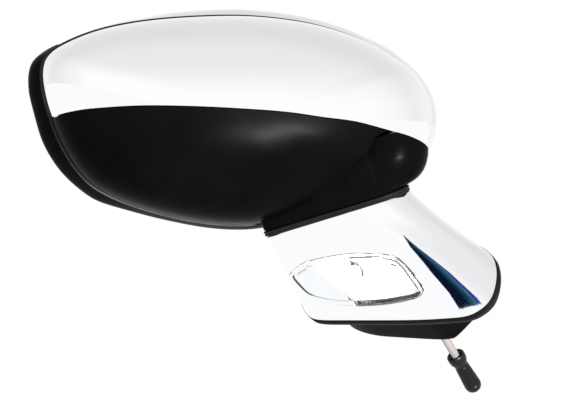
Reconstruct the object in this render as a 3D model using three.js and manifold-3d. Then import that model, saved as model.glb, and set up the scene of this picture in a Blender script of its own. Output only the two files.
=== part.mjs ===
// Car side mirror, right-hand side of the car, adjusted by a stick from inside the door.
// Millimetres. +X points into the car, +Y to its rear, +Z up. The origin lies on the door face
// of the foot's gasket, midway along its lower land.
// All pieces are built in the VIEW frame, which is turned 45 degrees about Z and has its origin
// at the fold pivot. In it lie HEAD (rim plane, Y to its rear), JOINT (Z along the fold axis),
// DOOR (Z square into the door), LEVER (Z along the stick) and LAMP (Z inwards from the lens).
import * as THREE from "three";
import { mergeVertices } from "three/addons/utils/BufferGeometryUtils.js";
import Module from "manifold-3d";

// ---- driving dimensions ----
const DOOR_LEAN = 35; // degrees the door face leans in at the top
const VIEW_TURN = 45; // degrees the view frame is turned from the car's axes
const HEAD_YAW = 10; // degrees the rim plane is turned in the view frame
const HEAD_AT = [-88, 0, 47];
const FOLD_AXIS = [-0.3207, -0.0849, 0.9433];
const ORIGIN_AT = [3, -57.6]; // the part's origin, as DOOR x, y

// head, in the HEAD frame
const SEAM_Y = 18.3; // where the front shell meets the rim
const RIM_REAR = 38.5; // rear edge of the rim
const SHELL_DEPTH = 62;
const SHELL_POWER = 2.3; // exponent of the shell's superellipse section
const SHELL_WALL = 2.5;
const CENTRE_X = 8; // centre of the shell and of the glass joint
const CENTRE_Z = -1;
const SPLIT_GAP = 0.3; // from the split line to each half of the shell
const PAD_WALL = 2.5; // wall of the lower housing's pad
const PAD_FLOOR = 3.4; // top of the pad's floor, along JOINT Z
const CAP_SCREWS = [[-50, 31], [70, 18]]; // x, z
const LOWER_SCREWS = [[-47, -33], [22, -42]];

// glass joint: a cross whose two pins turn in two forks
const CROSS_Y = 18;
const PIN_R = 2;
const PIN_END = 9.6;
const PIN_HOLE_R = 2.35;
const CHEEK_AT = 8.25; // centre of a fork cheek, from the centre of the cross
const CHEEK_HALF = 1.75; // half a cheek's thickness
const GLASS_WIRES = [[-26, 0], [26, 0], [0, -24]]; // x, z from the centre

// foot: places along DOOR Z are distances from the fold pivot
const PLATE_Z = 46; // head side of the base plate
const PLATE_T = 2.6;
const GASKET_Z = PLATE_Z + PLATE_T + 0.2;
const GASKET_T = 2.6;
const DOOR_FACE_Z = GASKET_Z + GASKET_T;
const BOX_END = 80;
const SEAL_T = 3; // seal between foot and head
const COVER_GAP = 0.3; // from the cover to the seal and to the plate
const COVER_WALL = 2.5;
const COLUMN_R = 13.8;
const COLUMN_HOLE_R = 14.4;
const FOOT_CENTRE = [6, -32]; // DOOR x, y that the flange's angles are taken about
// bumps on the cover's side: size in mm, angle round the foot from the rear, width in radians
const SWELL = { size: 11, angle: 0, width: 0.35 };
const DENT = { size: 7, angle: rad(205), width: 0.16 };
const STUDS = [[-43, -14], [-47, -32], [72.4, -35]]; // DOOR x, y
const STUD_END = 68;
const NUT_Z = 54;
const LEAD_AT = [25, -20]; // DOOR x, y where the lamp lead passes the base plate

// lamp, in the LAMP frame
const LAMP_AT = [-19.5, 5.3, -51.6];
const LAMP_INWARDS = [0.458, 0.786, 0.416];
const TRAY_BACK = 5.4;
const CUP_BACK = 14;
const CUP_R = 10.6;
const LAMP_WALL = 1.2;

// stick
const LEVER_AT = [-10, -40, 68]; // centre of its cross, in the DOOR frame
const LEVER_DROOP = 14; // degrees
const [LEVER_X, LEVER_Y, LEVER_Z] = LEVER_AT;
const LEVER_PIN_R = 1.45;
const LEVER_HOLE_R = 1.75;
const ROD_HOLE_R = 2.75;
const LEVER_WIRES = [[-5.2, 0], [5.2, 0], [0, 4.68]]; // LEVER x, y

// ---- measured outlines ----
// HEAD x, z of the rim's largest outline
const RIM = [
  [2.9, 66.62], [-15.71, 65.64], [-34.23, 63.81], [-52.68, 60.27], [-71.05, 56.38],
  [-90.56, 49.09], [-105.14, 43.1], [-113.62, 37.92], [-118.76, 32.41], [-120.87, 24.52],
  [-120.57, 14.83], [-118.46, 5.15], [-114.83, -8.17], [-110.59, -19.06], [-103.44, -30.57],
  [-95.12, -39.66], [-85.81, -47.25], [-75.94, -52.43], [-60.65, -57], [-46.54, -60.8],
  [-32.38, -64.06], [-18.18, -66.78], [-3.31, -68.59], [12.23, -68.93], [27.82, -66.93],
  [46.61, -61.71], [68.63, -54.62], [89.49, -47.81], [105.36, -41.9], [116.82, -34.42],
  [124.48, -25.69], [129.59, -16.95], [132.15, -6.96], [132.79, 2.39], [130.87, 11.73],
  [127.68, 19.18], [120.46, 28.77], [109.82, 38.01], [99.01, 45.17], [88.67, 49.9],
  [78.1, 54.42], [57.11, 60.85], [35.96, 64.53], [19.71, 66.17],
];
// HEAD x, z of the seam between shell and rim, point for point with RIM
const SEAM = [
  [0.13, 60.92], [-18.25, 60.27], [-36.56, 58.94], [-54.78, 56.78], [-72.94, 53.25],
  [-87.41, 48.87], [-99.43, 43.63], [-107.82, 38.44], [-112.31, 32.7], [-113.92, 26.09],
  [-113.51, 17.71], [-111.29, 7.24], [-108.54, -1.44], [-104.82, -11.61], [-99.73, -21.79],
  [-93.42, -31.38], [-86.2, -39.48], [-77.16, -45.79], [-62.66, -52.41], [-48.72, -56.94],
  [-34.73, -60.58], [-20.69, -63.32], [-6, -65.16], [9.35, -65.49], [24.77, -63.39],
  [43.33, -58.23], [65.09, -51.21], [84.45, -44.16], [98.87, -38.01], [108.93, -31.24],
  [115.55, -23.53], [120.28, -16.14], [123.12, -7.51], [124.06, 3.58], [122.17, 12.19],
  [118.38, 19.55], [111.45, 28.71], [101.39, 35.69], [90.72, 42.33], [80.7, 47.12],
  [68.83, 51.46], [50.78, 56.26], [32.8, 59.09], [16.74, 60.53],
];
// HEAD x, z of the line between head cap and lower housing
const SPLIT = [
  [-129.56, -10.36], [-119.09, -5.35], [-111.74, -2.51], [-105.08, -0.31], [-94.54, 1.92],
  [-80.45, 3.19], [-63.95, 4.05], [-35.52, 3.88], [-5.7, 2.66], [26.14, 0.48], [46.69, -2.2],
  [66.73, -4.53], [83.2, -8.15], [92.99, -10.5], [102.18, -13.45], [110.79, -17.31],
  [116.32, -21.49], [124.95, -27.17],
];
// HEAD x, z round the upper part of the rim
const UPPER_RIM = [
  [-160, 90], [-160, 62], [-104.5, 44.5], [-84, 26], [0, -8], [105, -18], [124, -21.5],
  [150, -30], [150, 90],
];
// DOOR x, y of the foot's flange
const FLANGE = [
  [72.62, -53.5], [66.33, -58.46], [56.49, -62.13], [36.06, -62.03], [3.47, -60.71],
  [-28, -59.08], [-49.09, -57.17], [-63.43, -54.86], [-71.02, -50.04], [-74.51, -44.7],
  [-74.92, -37.7], [-72.77, -29.35], [-69.06, -21.68], [-62.48, -13.65], [-52.62, -7.75],
  [-37.69, -2.92], [-14.02, -0.33], [10.52, -0.27], [34.05, -3.21], [56.21, -9.57],
  [72.33, -19.71], [79.53, -33.49], [78.9, -45.5],
];
// VIEW x, z of the lamp's opening in the foot cover
const LENS = [
  [-55.2, -48.6], [-51.6, -44.4], [-45, -40.8], [-33.6, -37.8], [-21.6, -35.82],
  [-9.6, -35.22], [3, -35.88], [10.2, -38.4], [15.6, -43.8], [19.8, -49.8], [23.4, -55.2],
  [23.7, -58.5], [20.4, -61.8], [11.4, -64.5], [-0.6, -66.72], [-18.6, -67.98],
  [-33.6, -66.78], [-43.8, -63.6], [-49.8, -58.5], [-54, -53.4],
];
// DOOR x, y of the box behind the door face
const BOX = [
  [66, -40], [57, -48], [37, -52.3], [16, -53], [-16, -53], [-25, -52], [-29, -50], [-35, -40],
  [-38, -30], [-36, -16], [-25, -10], [20, -9], [50, -13], [62, -22], [66, -32],
];

const FINISHES = {
  chrome: { color: 0xe9ecec, roughness: 0.06, metalness: 1 },
  black: { color: 0x171717, roughness: 0.55, metalness: 0 },
  frame: { color: 0x26282a, roughness: 0.6, metalness: 0 },
  glass: { color: 0xb9c4c8, roughness: 0.04, metalness: 1 },
  steel: { color: 0x9a9da0, roughness: 0.35, metalness: 0.9 },
  rubber: { color: 0x0e0e0e, roughness: 0.85, metalness: 0 },
  clear: { color: 0xf1f4f4, roughness: 0.05, metalness: 0 },
  reflector: { color: 0xdfe2e4, roughness: 0.15, metalness: 0.8 },
  grey: { color: 0x8b8684, roughness: 0.45, metalness: 0.2 },
  wire: { color: 0x2c2c2e, roughness: 0.6, metalness: 0 },
};

const wasm = await Module();
wasm.setup();
const { Manifold, Mesh } = wasm;

// ---- frames ----
function rad(degrees) {
  return (degrees * Math.PI) / 180;
}
const vec = (x, y, z) => new THREE.Vector3(x, y, z);
const rotX = (angle) => new THREE.Matrix4().makeRotationX(angle);
const shift = (frame, x, y, z) =>
  frame.clone().multiply(new THREE.Matrix4().makeTranslation(x, y, z));
const at = (frame, x, y, z) => vec(x, y, z).applyMatrix4(frame);
// frame with the given Z, its X as near as can be to the view's X
function frameAlong(z, origin) {
  const x = vec(1, 0, 0).addScaledVector(z, -z.x).normalize();
  return new THREE.Matrix4().makeBasis(x, z.clone().cross(x), z).setPosition(origin);
}
const VIEW = new THREE.Matrix4();
const foldAxis = vec(...FOLD_AXIS).normalize();
const JOINT = frameAlong(foldAxis, vec(0, 0, 0));
const LAMP = frameAlong(vec(...LAMP_INWARDS).normalize(), vec(...LAMP_AT));
const yaw = rad(HEAD_YAW);
const HEAD = new THREE.Matrix4().makeBasis(
  vec(Math.cos(yaw), Math.sin(yaw), 0),
  vec(-Math.sin(yaw), Math.cos(yaw), 0),
  vec(0, 0, 1),
).setPosition(vec(...HEAD_AT));
const turn = rad(VIEW_TURN);
const lean = rad(DOOR_LEAN);
const intoDoor = vec(
  Math.cos(lean) * Math.cos(turn), Math.cos(lean) * Math.sin(turn), -Math.sin(lean),
);
const DOOR = new THREE.Matrix4().makeBasis(
  vec(-Math.sin(turn), Math.cos(turn), 0),
  vec(Math.sin(lean) * Math.cos(turn), Math.sin(lean) * Math.sin(turn), Math.cos(lean)),
  intoDoor,
);
const DOOR_INVERSE = DOOR.clone().invert();
const LEVER = shift(DOOR, ...LEVER_AT).multiply(rotX(rad(LEVER_DROOP)));
const headPoint = (x, y, z) => at(HEAD, x, y, z);
const doorPoint = (x, y, z) => at(DOOR, x, y, z);

// ---- solids ----
const cut = (solid, ...tools) => tools.reduce((rest, tool) => rest.subtract(tool), solid);
const join = (solid, ...others) => others.reduce((sum, other) => sum.add(other), solid);

function toSolid(geometry, matrix = VIEW) {
  const flat = geometry.index ? geometry.toNonIndexed() : geometry;
  const bare = new THREE.BufferGeometry().setAttribute("position", flat.getAttribute("position"));
  const merged = mergeVertices(bare.applyMatrix4(matrix), 1e-4);
  const solid = new Manifold(new Mesh({
    numProp: 3,
    vertProperties: merged.attributes.position.array,
    triVerts: new Uint32Array(merged.index.array),
  }));
  if (solid.volume() < 0) throw new Error("inside out");
  return solid;
}

// solid from points and triangles that all wind the same way, turned outwards if need be
function polyhedron(points, faces) {
  let volume = 0;
  for (const [a, b, c] of faces) volume += points[a].dot(points[b].clone().cross(points[c]));
  const outward = volume > 0 ? faces : faces.map(([a, b, c]) => [a, c, b]);
  return new Manifold(new Mesh({
    numProp: 3,
    vertProperties: Float32Array.from(points.flatMap((p) => p.toArray())),
    triVerts: Uint32Array.from(outward.flat()),
  }));
}

// triangles between each ring and the next; closed also joins the last ring to the first
function ringFaces(rings, closed) {
  const count = rings[0].length;
  const faces = [];
  for (let k = 0; k < rings.length - (closed ? 0 : 1); k++) {
    const next = ((k + 1) % rings.length) * count;
    for (let i = 0; i < count; i++) {
      const j = (i + 1) % count;
      const a = k * count + i;
      faces.push([a, k * count + j, next + j], [a, next + j, next + i]);
    }
  }
  return faces;
}
const band = (rings) => polyhedron(rings.flat(), ringFaces(rings, true));

// body through rings, both ends closed by fans; tip replaces the middle of the last fan
function loft(rings, tip) {
  const count = rings[0].length;
  const middle = (ring) =>
    ring.reduce((sum, p) => sum.add(p), vec(0, 0, 0)).multiplyScalar(1 / count);
  const last = rings[rings.length - 1];
  const points = [...rings.flat(), middle(rings[0]), tip || middle(last)];
  const faces = ringFaces(rings, false);
  const start = points.length - 2;
  const lastRing = start - count;
  for (let i = 0; i < count; i++) {
    const j = (i + 1) % count;
    faces.push([start, j, i], [start + 1, lastRing + i, lastRing + j]);
  }
  return polyhedron(points, faces);
}

const Y_TO_Z = rotX(Math.PI / 2);
const Y_TO_MINUS_X = new THREE.Matrix4().makeRotationZ(Math.PI / 2);
const cylinder = (matrix, length, radius, segments) =>
  toSolid(new THREE.CylinderGeometry(radius, radius, length, segments), matrix);
// rods along one axis of a frame, placed by their other two coordinates
const rodX = (frame, y, z, x0, x1, radius, segments) =>
  cylinder(shift(frame, (x0 + x1) / 2, y, z).multiply(Y_TO_MINUS_X), x1 - x0, radius, segments);
const rodY = (frame, x, z, y0, y1, radius, segments) =>
  cylinder(shift(frame, x, (y0 + y1) / 2, z), y1 - y0, radius, segments);
const rodZ = (frame, x, y, z0, z1, radius, segments) =>
  cylinder(shift(frame, x, y, (z0 + z1) / 2).multiply(Y_TO_Z), z1 - z0, radius, segments);
const block = (frame, x0, x1, y0, y1, z0, z1) => toSolid(
  new THREE.BoxGeometry(x1 - x0, y1 - y0, z1 - z0),
  shift(frame, (x0 + x1) / 2, (y0 + y1) / 2, (z0 + z1) / 2),
);

const vectors2 = (pairs) => pairs.map(([x, y]) => new THREE.Vector2(x, y));
const extruded = (outline, depth) => new THREE.ExtrudeGeometry(
  new THREE.Shape(vectors2(outline)), { depth, bevelEnabled: false },
);
// prism of an x, y outline
const prismZ = (frame, outline, z0, z1) =>
  toSolid(extruded(outline, z1 - z0), shift(frame, 0, 0, z0));
// prism of an x, z outline
const prismY = (frame, outline, y0, y1) =>
  toSolid(extruded(outline, y1 - y0), shift(frame, 0, y1, 0).multiply(Y_TO_Z));

// body turned about the frame's Z from radius, z pairs, counter-clockwise
const turned = (frame, profile, segments) =>
  toSolid(new THREE.LatheGeometry(vectors2(profile), segments), frame.clone().multiply(Y_TO_Z));
const ringZ = (frame, inner, outer, z0, z1, segments) =>
  turned(frame, [[inner, z0], [outer, z0], [outer, z1], [inner, z1], [inner, z0]], segments);

function tubeAlong(points, radius, steps) {
  const section = new THREE.Shape();
  section.absarc(0, 0, radius, 0, Math.PI * 2);
  const extrudePath = new THREE.CatmullRomCurve3(points, false, "centripetal");
  const options = { steps, curveSegments: 3, bevelEnabled: false, extrudePath };
  return toSolid(new THREE.ExtrudeGeometry(section, options));
}

// ---- outlines ----
// outline moved inwards by a distance (negative moves it out)
function inset(outline, distance) {
  const count = outline.length;
  let area = 0;
  outline.forEach(([x, y], i) => {
    const [nextX, nextY] = outline[(i + 1) % count];
    area += x * nextY - nextX * y;
  });
  const move = area > 0 ? distance : -distance;
  return outline.map(([x, y], i) => {
    const before = outline[(i + count - 1) % count];
    const after = outline[(i + 1) % count];
    const dx = after[0] - before[0];
    const dy = after[1] - before[1];
    const length = Math.hypot(dx, dy);
    return [x - (move * dy) / length, y + (move * dx) / length];
  });
}

// closed curve through the points, resampled evenly
function smooth(outline, count) {
  const points = outline.map(([x, y]) => vec(x, y, 0));
  const curve = new THREE.CatmullRomCurve3(points, true, "centripetal");
  return curve.getSpacedPoints(count).slice(0, count).map((p) => [p.x, p.y]);
}

function centroid(outline) {
  let area = 0;
  let sumX = 0;
  let sumY = 0;
  outline.forEach(([x, y], i) => {
    const [nextX, nextY] = outline[(i + 1) % outline.length];
    const cross = x * nextY - nextX * y;
    area += cross;
    sumX += (x + nextX) * cross;
    sumY += (y + nextY) * cross;
  });
  return [sumX / (3 * area), sumY / (3 * area)];
}

// outline resampled at equal angles about a centre, farthest crossing of each ray
function byAngle(outline, [cx, cy], count) {
  const dense = smooth(outline, 600);
  return Array.from({ length: count }, (_, k) => {
    const angle = (2 * Math.PI * k) / count;
    const dx = Math.cos(angle);
    const dy = Math.sin(angle);
    const side = (p) => dx * (p[1] - cy) - dy * (p[0] - cx);
    let best;
    let reach = 0;
    dense.forEach((p, i) => {
      const q = dense[(i + 1) % dense.length];
      const sideP = side(p);
      const sideQ = side(q);
      if (sideP <= 0 === sideQ <= 0) return;
      const t = sideP / (sideP - sideQ);
      const x = p[0] + t * (q[0] - p[0]);
      const y = p[1] + t * (q[1] - p[1]);
      const along = (x - cx) * dx + (y - cy) * dy;
      if (along > reach) {
        best = [x, y];
        reach = along;
      }
    });
    return best;
  });
}

// joint outline in JOINT x, y: round about the pivot, with a tail outboard
function teardrop(grow, count) {
  const pivotR = 17 + grow;
  const tailR = 8 + grow;
  const tail = [-66, 10];
  const toTail = Math.atan2(tail[1], tail[0]);
  const tangent = Math.acos((pivotR - tailR) / Math.hypot(...tail));
  const pivotSteps = Math.round(count * 0.6);
  const arc = ([x, y], radius, from, sweep, steps) =>
    Array.from({ length: steps + 1 }, (_, i) => {
      const angle = from + (sweep * i) / steps;
      return [x + radius * Math.cos(angle), y + radius * Math.sin(angle)];
    });
  return [
    ...arc([0, 0], pivotR, toTail + tangent, 2 * Math.PI - 2 * tangent, pivotSteps),
    ...arc(tail, tailR, toTail - tangent, 2 * tangent, count - pivotSteps),
  ];
}

// ---- node list ----
const view = new THREE.Group();
function add(name, solid, finish) {
  const bodies = solid.decompose().sort((a, b) => b.volume() - a.volume());
  // drops slivers left by a cut
  const kept = bodies.length > 1 && bodies[1].volume() < 1 ? bodies[0] : solid;
  const { vertProperties, triVerts } = kept.getMesh();
  const geometry = new THREE.BufferGeometry()
    .setAttribute("position", new THREE.BufferAttribute(vertProperties, 3))
    .setIndex(new THREE.BufferAttribute(triVerts, 1));
  geometry.computeVertexNormals();
  const mesh = new THREE.Mesh(geometry, new THREE.MeshStandardMaterial(FINISHES[finish]));
  mesh.name = name;
  view.add(mesh);
}

// ================= head =================
const headRing = (outline, y) => outline.map(([x, z]) => headPoint(x, y, z));

// shell body: straight rings at startYs, then closing forwards at fractions of the depth
function bowl(outline, depth, startYs, fractions) {
  const rings = startYs.map((y) => headRing(outline, y));
  for (const f of fractions) {
    const scale = Math.pow(1 - Math.pow(f, SHELL_POWER), 1 / SHELL_POWER);
    const shrunk = outline.map(([x, z]) =>
      [CENTRE_X + scale * (x - CENTRE_X), CENTRE_Z + scale * (z - CENTRE_Z)]);
    rings.push(headRing(shrunk, SEAM_Y - f * depth));
  }
  return loft(rings, headPoint(CENTRE_X, SEAM_Y - depth, CENTRE_Z));
}
const shellInner = bowl(inset(SEAM, SHELL_WALL), SHELL_DEPTH - SHELL_WALL,
  [SEAM_Y + 3, SEAM_Y], [0.22, 0.46, 0.68, 0.86, 0.96]);
const shell = cut(
  bowl(SEAM, SHELL_DEPTH, [SEAM_Y], [0.2, 0.42, 0.62, 0.78, 0.9, 0.97]),
  shellInner,
);
const bossRoom = bowl(inset(SEAM, 1), SHELL_DEPTH - 1, [60, SEAM_Y], [0.3, 0.6, 0.85, 0.96]);

// everything on one side of the split line, out to farZ
const splitSide = (gap, farZ) => prismY(
  HEAD, [...SPLIT.map(([x, z]) => [x, z + gap]), [150, farZ], [-150, farZ]], -80, 60,
);
// screw bosses from the shell to the head frame
const bosses = (places) => places.map(([x, z]) =>
  cut(rodY(HEAD, x, z, -60, 3.6, 3.6, 10).intersect(bossRoom), rodY(HEAD, x, z, -8, 6, 1.5, 8)));

const headCap = () => join(shell.intersect(splitSide(SPLIT_GAP, 110)), ...bosses(CAP_SCREWS));

// carries a pad that comes down to the seal
function lowerHousing() {
  const belowSplit = splitSide(-SPLIT_GAP, -130);
  const padHollow = (top) => prismZ(JOINT, teardrop(-PAD_WALL, 36), PAD_FLOOR, top);
  const padRoom = join(
    prismY(HEAD, inset(RIM, 3), -45, SEAM_Y),
    prismY(HEAD, [[0, -20], [110, 0], [110, -60], [0, -80]], -45, SEAM_Y),
  );
  const pad = cut(prismZ(JOINT, teardrop(0, 36), 0.6, 40), padHollow(60), shellInner)
    .intersect(belowSplit)
    .intersect(padRoom);
  const bowlPart = cut(shell.intersect(belowSplit), padHollow(21));
  return cut(join(bowlPart, pad, ...bosses(LOWER_SCREWS)), rodZ(JOINT, 0, 0, -2, 24, 14.6, 28));
}
add("head_cap", headCap(), "chrome");
add("lower_housing", lowerHousing(), "black");

// flares from the seam to the rear edge, then turns in round the glass
function rim() {
  const flare = (t) =>
    SEAM.map(([x, z], i) => [x + t * (RIM[i][0] - x), z + t * (RIM[i][1] - z)]);
  // outline, y: out along the outside, back along the inside
  const stations = [
    [flare(0.04), SEAM_Y + 0.5], [flare(0.55), 25], [flare(0.9), 31], [RIM, 35.5],
    [inset(RIM, 0.6), 37.6], [inset(RIM, 2.2), RIM_REAR], [inset(RIM, 7.5), RIM_REAR],
    [inset(RIM, 7.5), 35.8], [inset(RIM, 2.8), 35.6], [inset(flare(0.9), 2.6), 31],
    [inset(flare(0.04), 2.5), SEAM_Y + 0.5],
  ];
  return band(stations.map(([outline, y]) => headRing(outline, y)));
}
const rimSolid = rim();
const upperWithGap = prismY(HEAD, UPPER_RIM.map(([x, z]) => [x, z - 0.5]), -61, 61);
add("rim_trim_upper", rimSolid.intersect(prismY(HEAD, UPPER_RIM, -60, 60)), "chrome");
add("rim_trim_lower", cut(rimSolid, upperWithGap), "black");

// plate behind the glass, with the fork of the cross's X pin
function glassHolder() {
  const hole = rodX(HEAD, CROSS_Y, CENTRE_Z, CENTRE_X - 15, CENTRE_X + 15, PIN_HOLE_R, 14);
  const cheeks = [-1, 1].map((side) => {
    const x = CENTRE_X + side * CHEEK_AT;
    return cut(block(HEAD, x - CHEEK_HALF, x + CHEEK_HALF, CROSS_Y - 4, 24.5,
      CENTRE_Z - 4, CENTRE_Z + 4), hole);
  });
  return join(prismY(HEAD, smooth(inset(RIM, 14.5), 32), 24, 27), ...cheeks);
}
const glassCross = () => join(
  block(HEAD, CENTRE_X - 4, CENTRE_X + 4, CROSS_Y - 3, CROSS_Y + 3, CENTRE_Z - 4, CENTRE_Z + 4),
  rodX(HEAD, CROSS_Y, CENTRE_Z, CENTRE_X - PIN_END, CENTRE_X + PIN_END, PIN_R, 14),
  rodZ(HEAD, CENTRE_X, CROSS_Y, CENTRE_Z - PIN_END, CENTRE_Z + PIN_END, PIN_R, 14),
);
// rod along HEAD Y at a glass wire's place
const atGlassWire = ([x, z], y0, y1, radius, segments) =>
  rodY(HEAD, CENTRE_X + x, CENTRE_Z + z, y0, y1, radius, segments);
add("mirror_glass", prismY(HEAD, smooth(inset(RIM, 13), 40), 27.4, 30), "glass");
add("glass_holder", glassHolder(), "frame");
add("glass_cross", glassCross(), "steel");
GLASS_WIRES.forEach((place, i) => {
  const wire = join(atGlassWire(place, 12.5, 22, 0.8, 8), atGlassWire(place, 21.2, 23.7, 2, 10));
  add(`glass_pull_wire_${i + 1}`, wire, "steel");
});

// plate with the fork of the cross's Z pin, sheath cups and the pivot boss
function headFrame() {
  // x, z, radius
  const openings = [
    [-70, 16, 10], [-66, -14, 11], [-28, 30, 9], [48, 30, 9], [-28, -32, 9], [54, -22, 8],
  ];
  const plate = cut(
    prismY(HEAD, smooth(inset(SEAM, 15), 26), 4, 7),
    ...openings.map(([x, z, radius]) => rodY(HEAD, x, z, 0, 12, radius, 14)),
  );
  const [x0, x1] = [CENTRE_X - 5, CENTRE_X + 5];
  const pinHole = rodZ(HEAD, CENTRE_X, CROSS_Y, CENTRE_Z - 15, CENTRE_Z + 15, PIN_HOLE_R, 14);
  const cheeks = [-1, 1].map((side) => {
    const z = CENTRE_Z + side * CHEEK_AT;
    return cut(block(HEAD, x0, x1, 6, 21, z - CHEEK_HALF, z + CHEEK_HALF), pinHole);
  });
  const arm = block(HEAD, 72, 89, -8, 7, -35, -25);
  const solid = join(
    plate,
    block(HEAD, x0, x1, 6, 12, CENTRE_Z - 10, CENTRE_Z + 10),
    ...cheeks,
    ...GLASS_WIRES.map((place) => atGlassWire(place, 4, 14, 3.6, 12)),
    rodZ(JOINT, 0, 0, PAD_FLOOR, 22, 13.6, 24),
    cut(arm, rodZ(JOINT, 0, 0, 10, 70, 13.4, 20)),
  );
  return cut(
    solid,
    rodZ(JOINT, 0, 0, -5, 60, 6.5, 20),
    rodZ(JOINT, 0, 0, 22, 70, 13.4, 20),
    ...GLASS_WIRES.flatMap((place) =>
      [atGlassWire(place, 6, 15, 2.3, 10), atGlassWire(place, 0, 10, 1.6, 10)]),
    ...headScrews.map(([x, z]) => rodY(HEAD, x, z, 0, 12, 1.8, 8)),
  );
}
// radius, y
const SCREW = [[0, -6], [1.2, -5], [1.2, 7.3], [3.3, 7.3], [3.3, 8.4], [2.2, 9.3], [0, 9.3]];
const headScrews = [...CAP_SCREWS, ...LOWER_SCREWS];
headScrews.forEach(([x, z], i) => {
  const alongY = shift(HEAD, x, 0, z).multiply(rotX(-Math.PI / 2));
  add(`head_screw_${i + 1}`, turned(alongY, SCREW, 12), "steel");
});
add("head_frame", headFrame(), "frame");

// ================= fold pivot =================
// radius, z
const PIVOT_TUBE = [
  [4.6, -17], [7.4, -17], [7.4, -14.6], [6, -14.6], [6, 39], [6.8, 39], [6.8, 40.6],
  [4.6, 40.6], [4.6, -17],
];
function foldSpring() {
  const turns = 4.2;
  const radius = 8.1;
  const points = Array.from({ length: 43 }, (_, i) => {
    const t = i / 42;
    const angle = t * turns * 2 * Math.PI;
    return at(JOINT, radius * Math.cos(angle), radius * Math.sin(angle), 23.8 + t * 10.2);
  });
  return tubeAlong(points, 1.1, 52);
}
add("pivot_tube", turned(JOINT, PIVOT_TUBE, 20), "steel");
add("fold_washer", ringZ(JOINT, 6.5, 12.6, 0.3, 2.9, 24), "grey");
add("spring_seat", ringZ(JOINT, 6.3, 9.8, 35.6, 38.5, 24), "steel");
add("fold_spring", foldSpring(), "steel");

// ================= foot =================
// bell curve round the foot, of the bump's size at its angle
function bumpAt(bump, angle) {
  const gap = Math.atan2(Math.sin(angle - bump.angle), Math.cos(angle - bump.angle));
  return bump.size * Math.exp(-(gap * gap) / (2 * bump.width * bump.width));
}

// body from the joint outline at JOINT z to the flange outline at DOOR z, matched by angle
function footLoft(inward, jointZ, doorZ, levels = [0, 0.35, 0.7, 1], count = 44) {
  const seenFromDoor = teardrop(-inward, 80).map(([x, y]) => {
    const p = at(JOINT, x, y, jointZ).applyMatrix4(DOOR_INVERSE);
    return [p.x, p.y];
  });
  const jointCentre = at(JOINT, 0, 0, jointZ);
  const top = byAngle(seenFromDoor, centroid(seenFromDoor), count).map(([x, y]) => {
    // back on to the joint plane, along the door's normal
    const p = doorPoint(x, y, 0);
    const distance = foldAxis.dot(jointCentre.clone().sub(p)) / foldAxis.dot(intoDoor);
    return p.addScaledVector(intoDoor, distance);
  });
  const flange = byAngle(inset(smooth(FLANGE, 90), inward), FOOT_CENTRE, count);
  return loft(levels.map((t) => top.map((p, i) => {
    const [x, y] = flange[i];
    const angle = (2 * Math.PI * i) / count;
    const toCentre = doorPoint(...FOOT_CENTRE, 0).sub(doorPoint(x, y, 0)).normalize();
    const shiftIn = Math.sin(Math.PI * t) * (bumpAt(DENT, angle) - bumpAt(SWELL, angle));
    return p.clone().lerp(doorPoint(x, y, doorZ), t).addScaledVector(toCentre, shiftIn);
  })));
}
const FINE_LEVELS = [0, 0.14, 0.34, 0.58, 0.82, 1];

function footCover() {
  const top = -SEAL_T - COVER_GAP;
  return cut(
    footLoft(0, top, PLATE_Z - COVER_GAP, FINE_LEVELS, 56),
    footLoft(COVER_WALL, top - COVER_WALL, PLATE_Z + 6, FINE_LEVELS, 44),
    rodZ(JOINT, 0, 0, -12, 4, COLUMN_HOLE_R, 24),
    prismY(VIEW, smooth(LENS, 32), -90, 12),
  );
}
const jointSeal = () => cut(
  prismZ(JOINT, teardrop(0.6, 44), -SEAL_T, 0),
  rodZ(JOINT, 0, 0, -9, 9, COLUMN_HOLE_R, 24),
);
add("foot_cover", footCover(), "chrome");
add("joint_seal", jointSeal(), "rubber");

// ---- lamp in the cover's opening ----
const lampLens = () => cut(
  footLoft(-1.6, -SEAL_T + 1.3, PLATE_Z),
  footLoft(2.2, -SEAL_T - 2.5, PLATE_Z + 2),
).intersect(prismY(VIEW, smooth(inset(LENS, 0.5), 32), -90, 12));

// tray with a round cup for the bulb
function lampReflector() {
  const outer = join(
    prismY(VIEW, smooth(inset(LENS, 2.2), 30), -95, 60)
      .intersect(block(LAMP, -90, 90, -90, 90, -40, TRAY_BACK)),
    rodZ(LAMP, 0, 0, -8, CUP_BACK, CUP_R, 24),
  ).intersect(footLoft(3.6, -SEAL_T - 4, PLATE_Z + 4, FINE_LEVELS, 56));
  const hollow = join(
    prismY(VIEW, smooth(inset(LENS, 3.6), 30), -99, 70)
      .intersect(block(LAMP, -95, 95, -95, 95, -50, TRAY_BACK - LAMP_WALL)),
    rodZ(LAMP, 0, 0, -30, CUP_BACK - LAMP_WALL, CUP_R - LAMP_WALL, 24),
  );
  return cut(
    outer,
    hollow,
    rodZ(LAMP, 0, 0, CUP_BACK - 5, CUP_BACK + 5, 5, 16),
    rodZ(JOINT, 0, 0, -95, 10, 14.2, 24),
    block(DOOR, 44, 90, -80, 0, -50, 12),
  );
}
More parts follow.
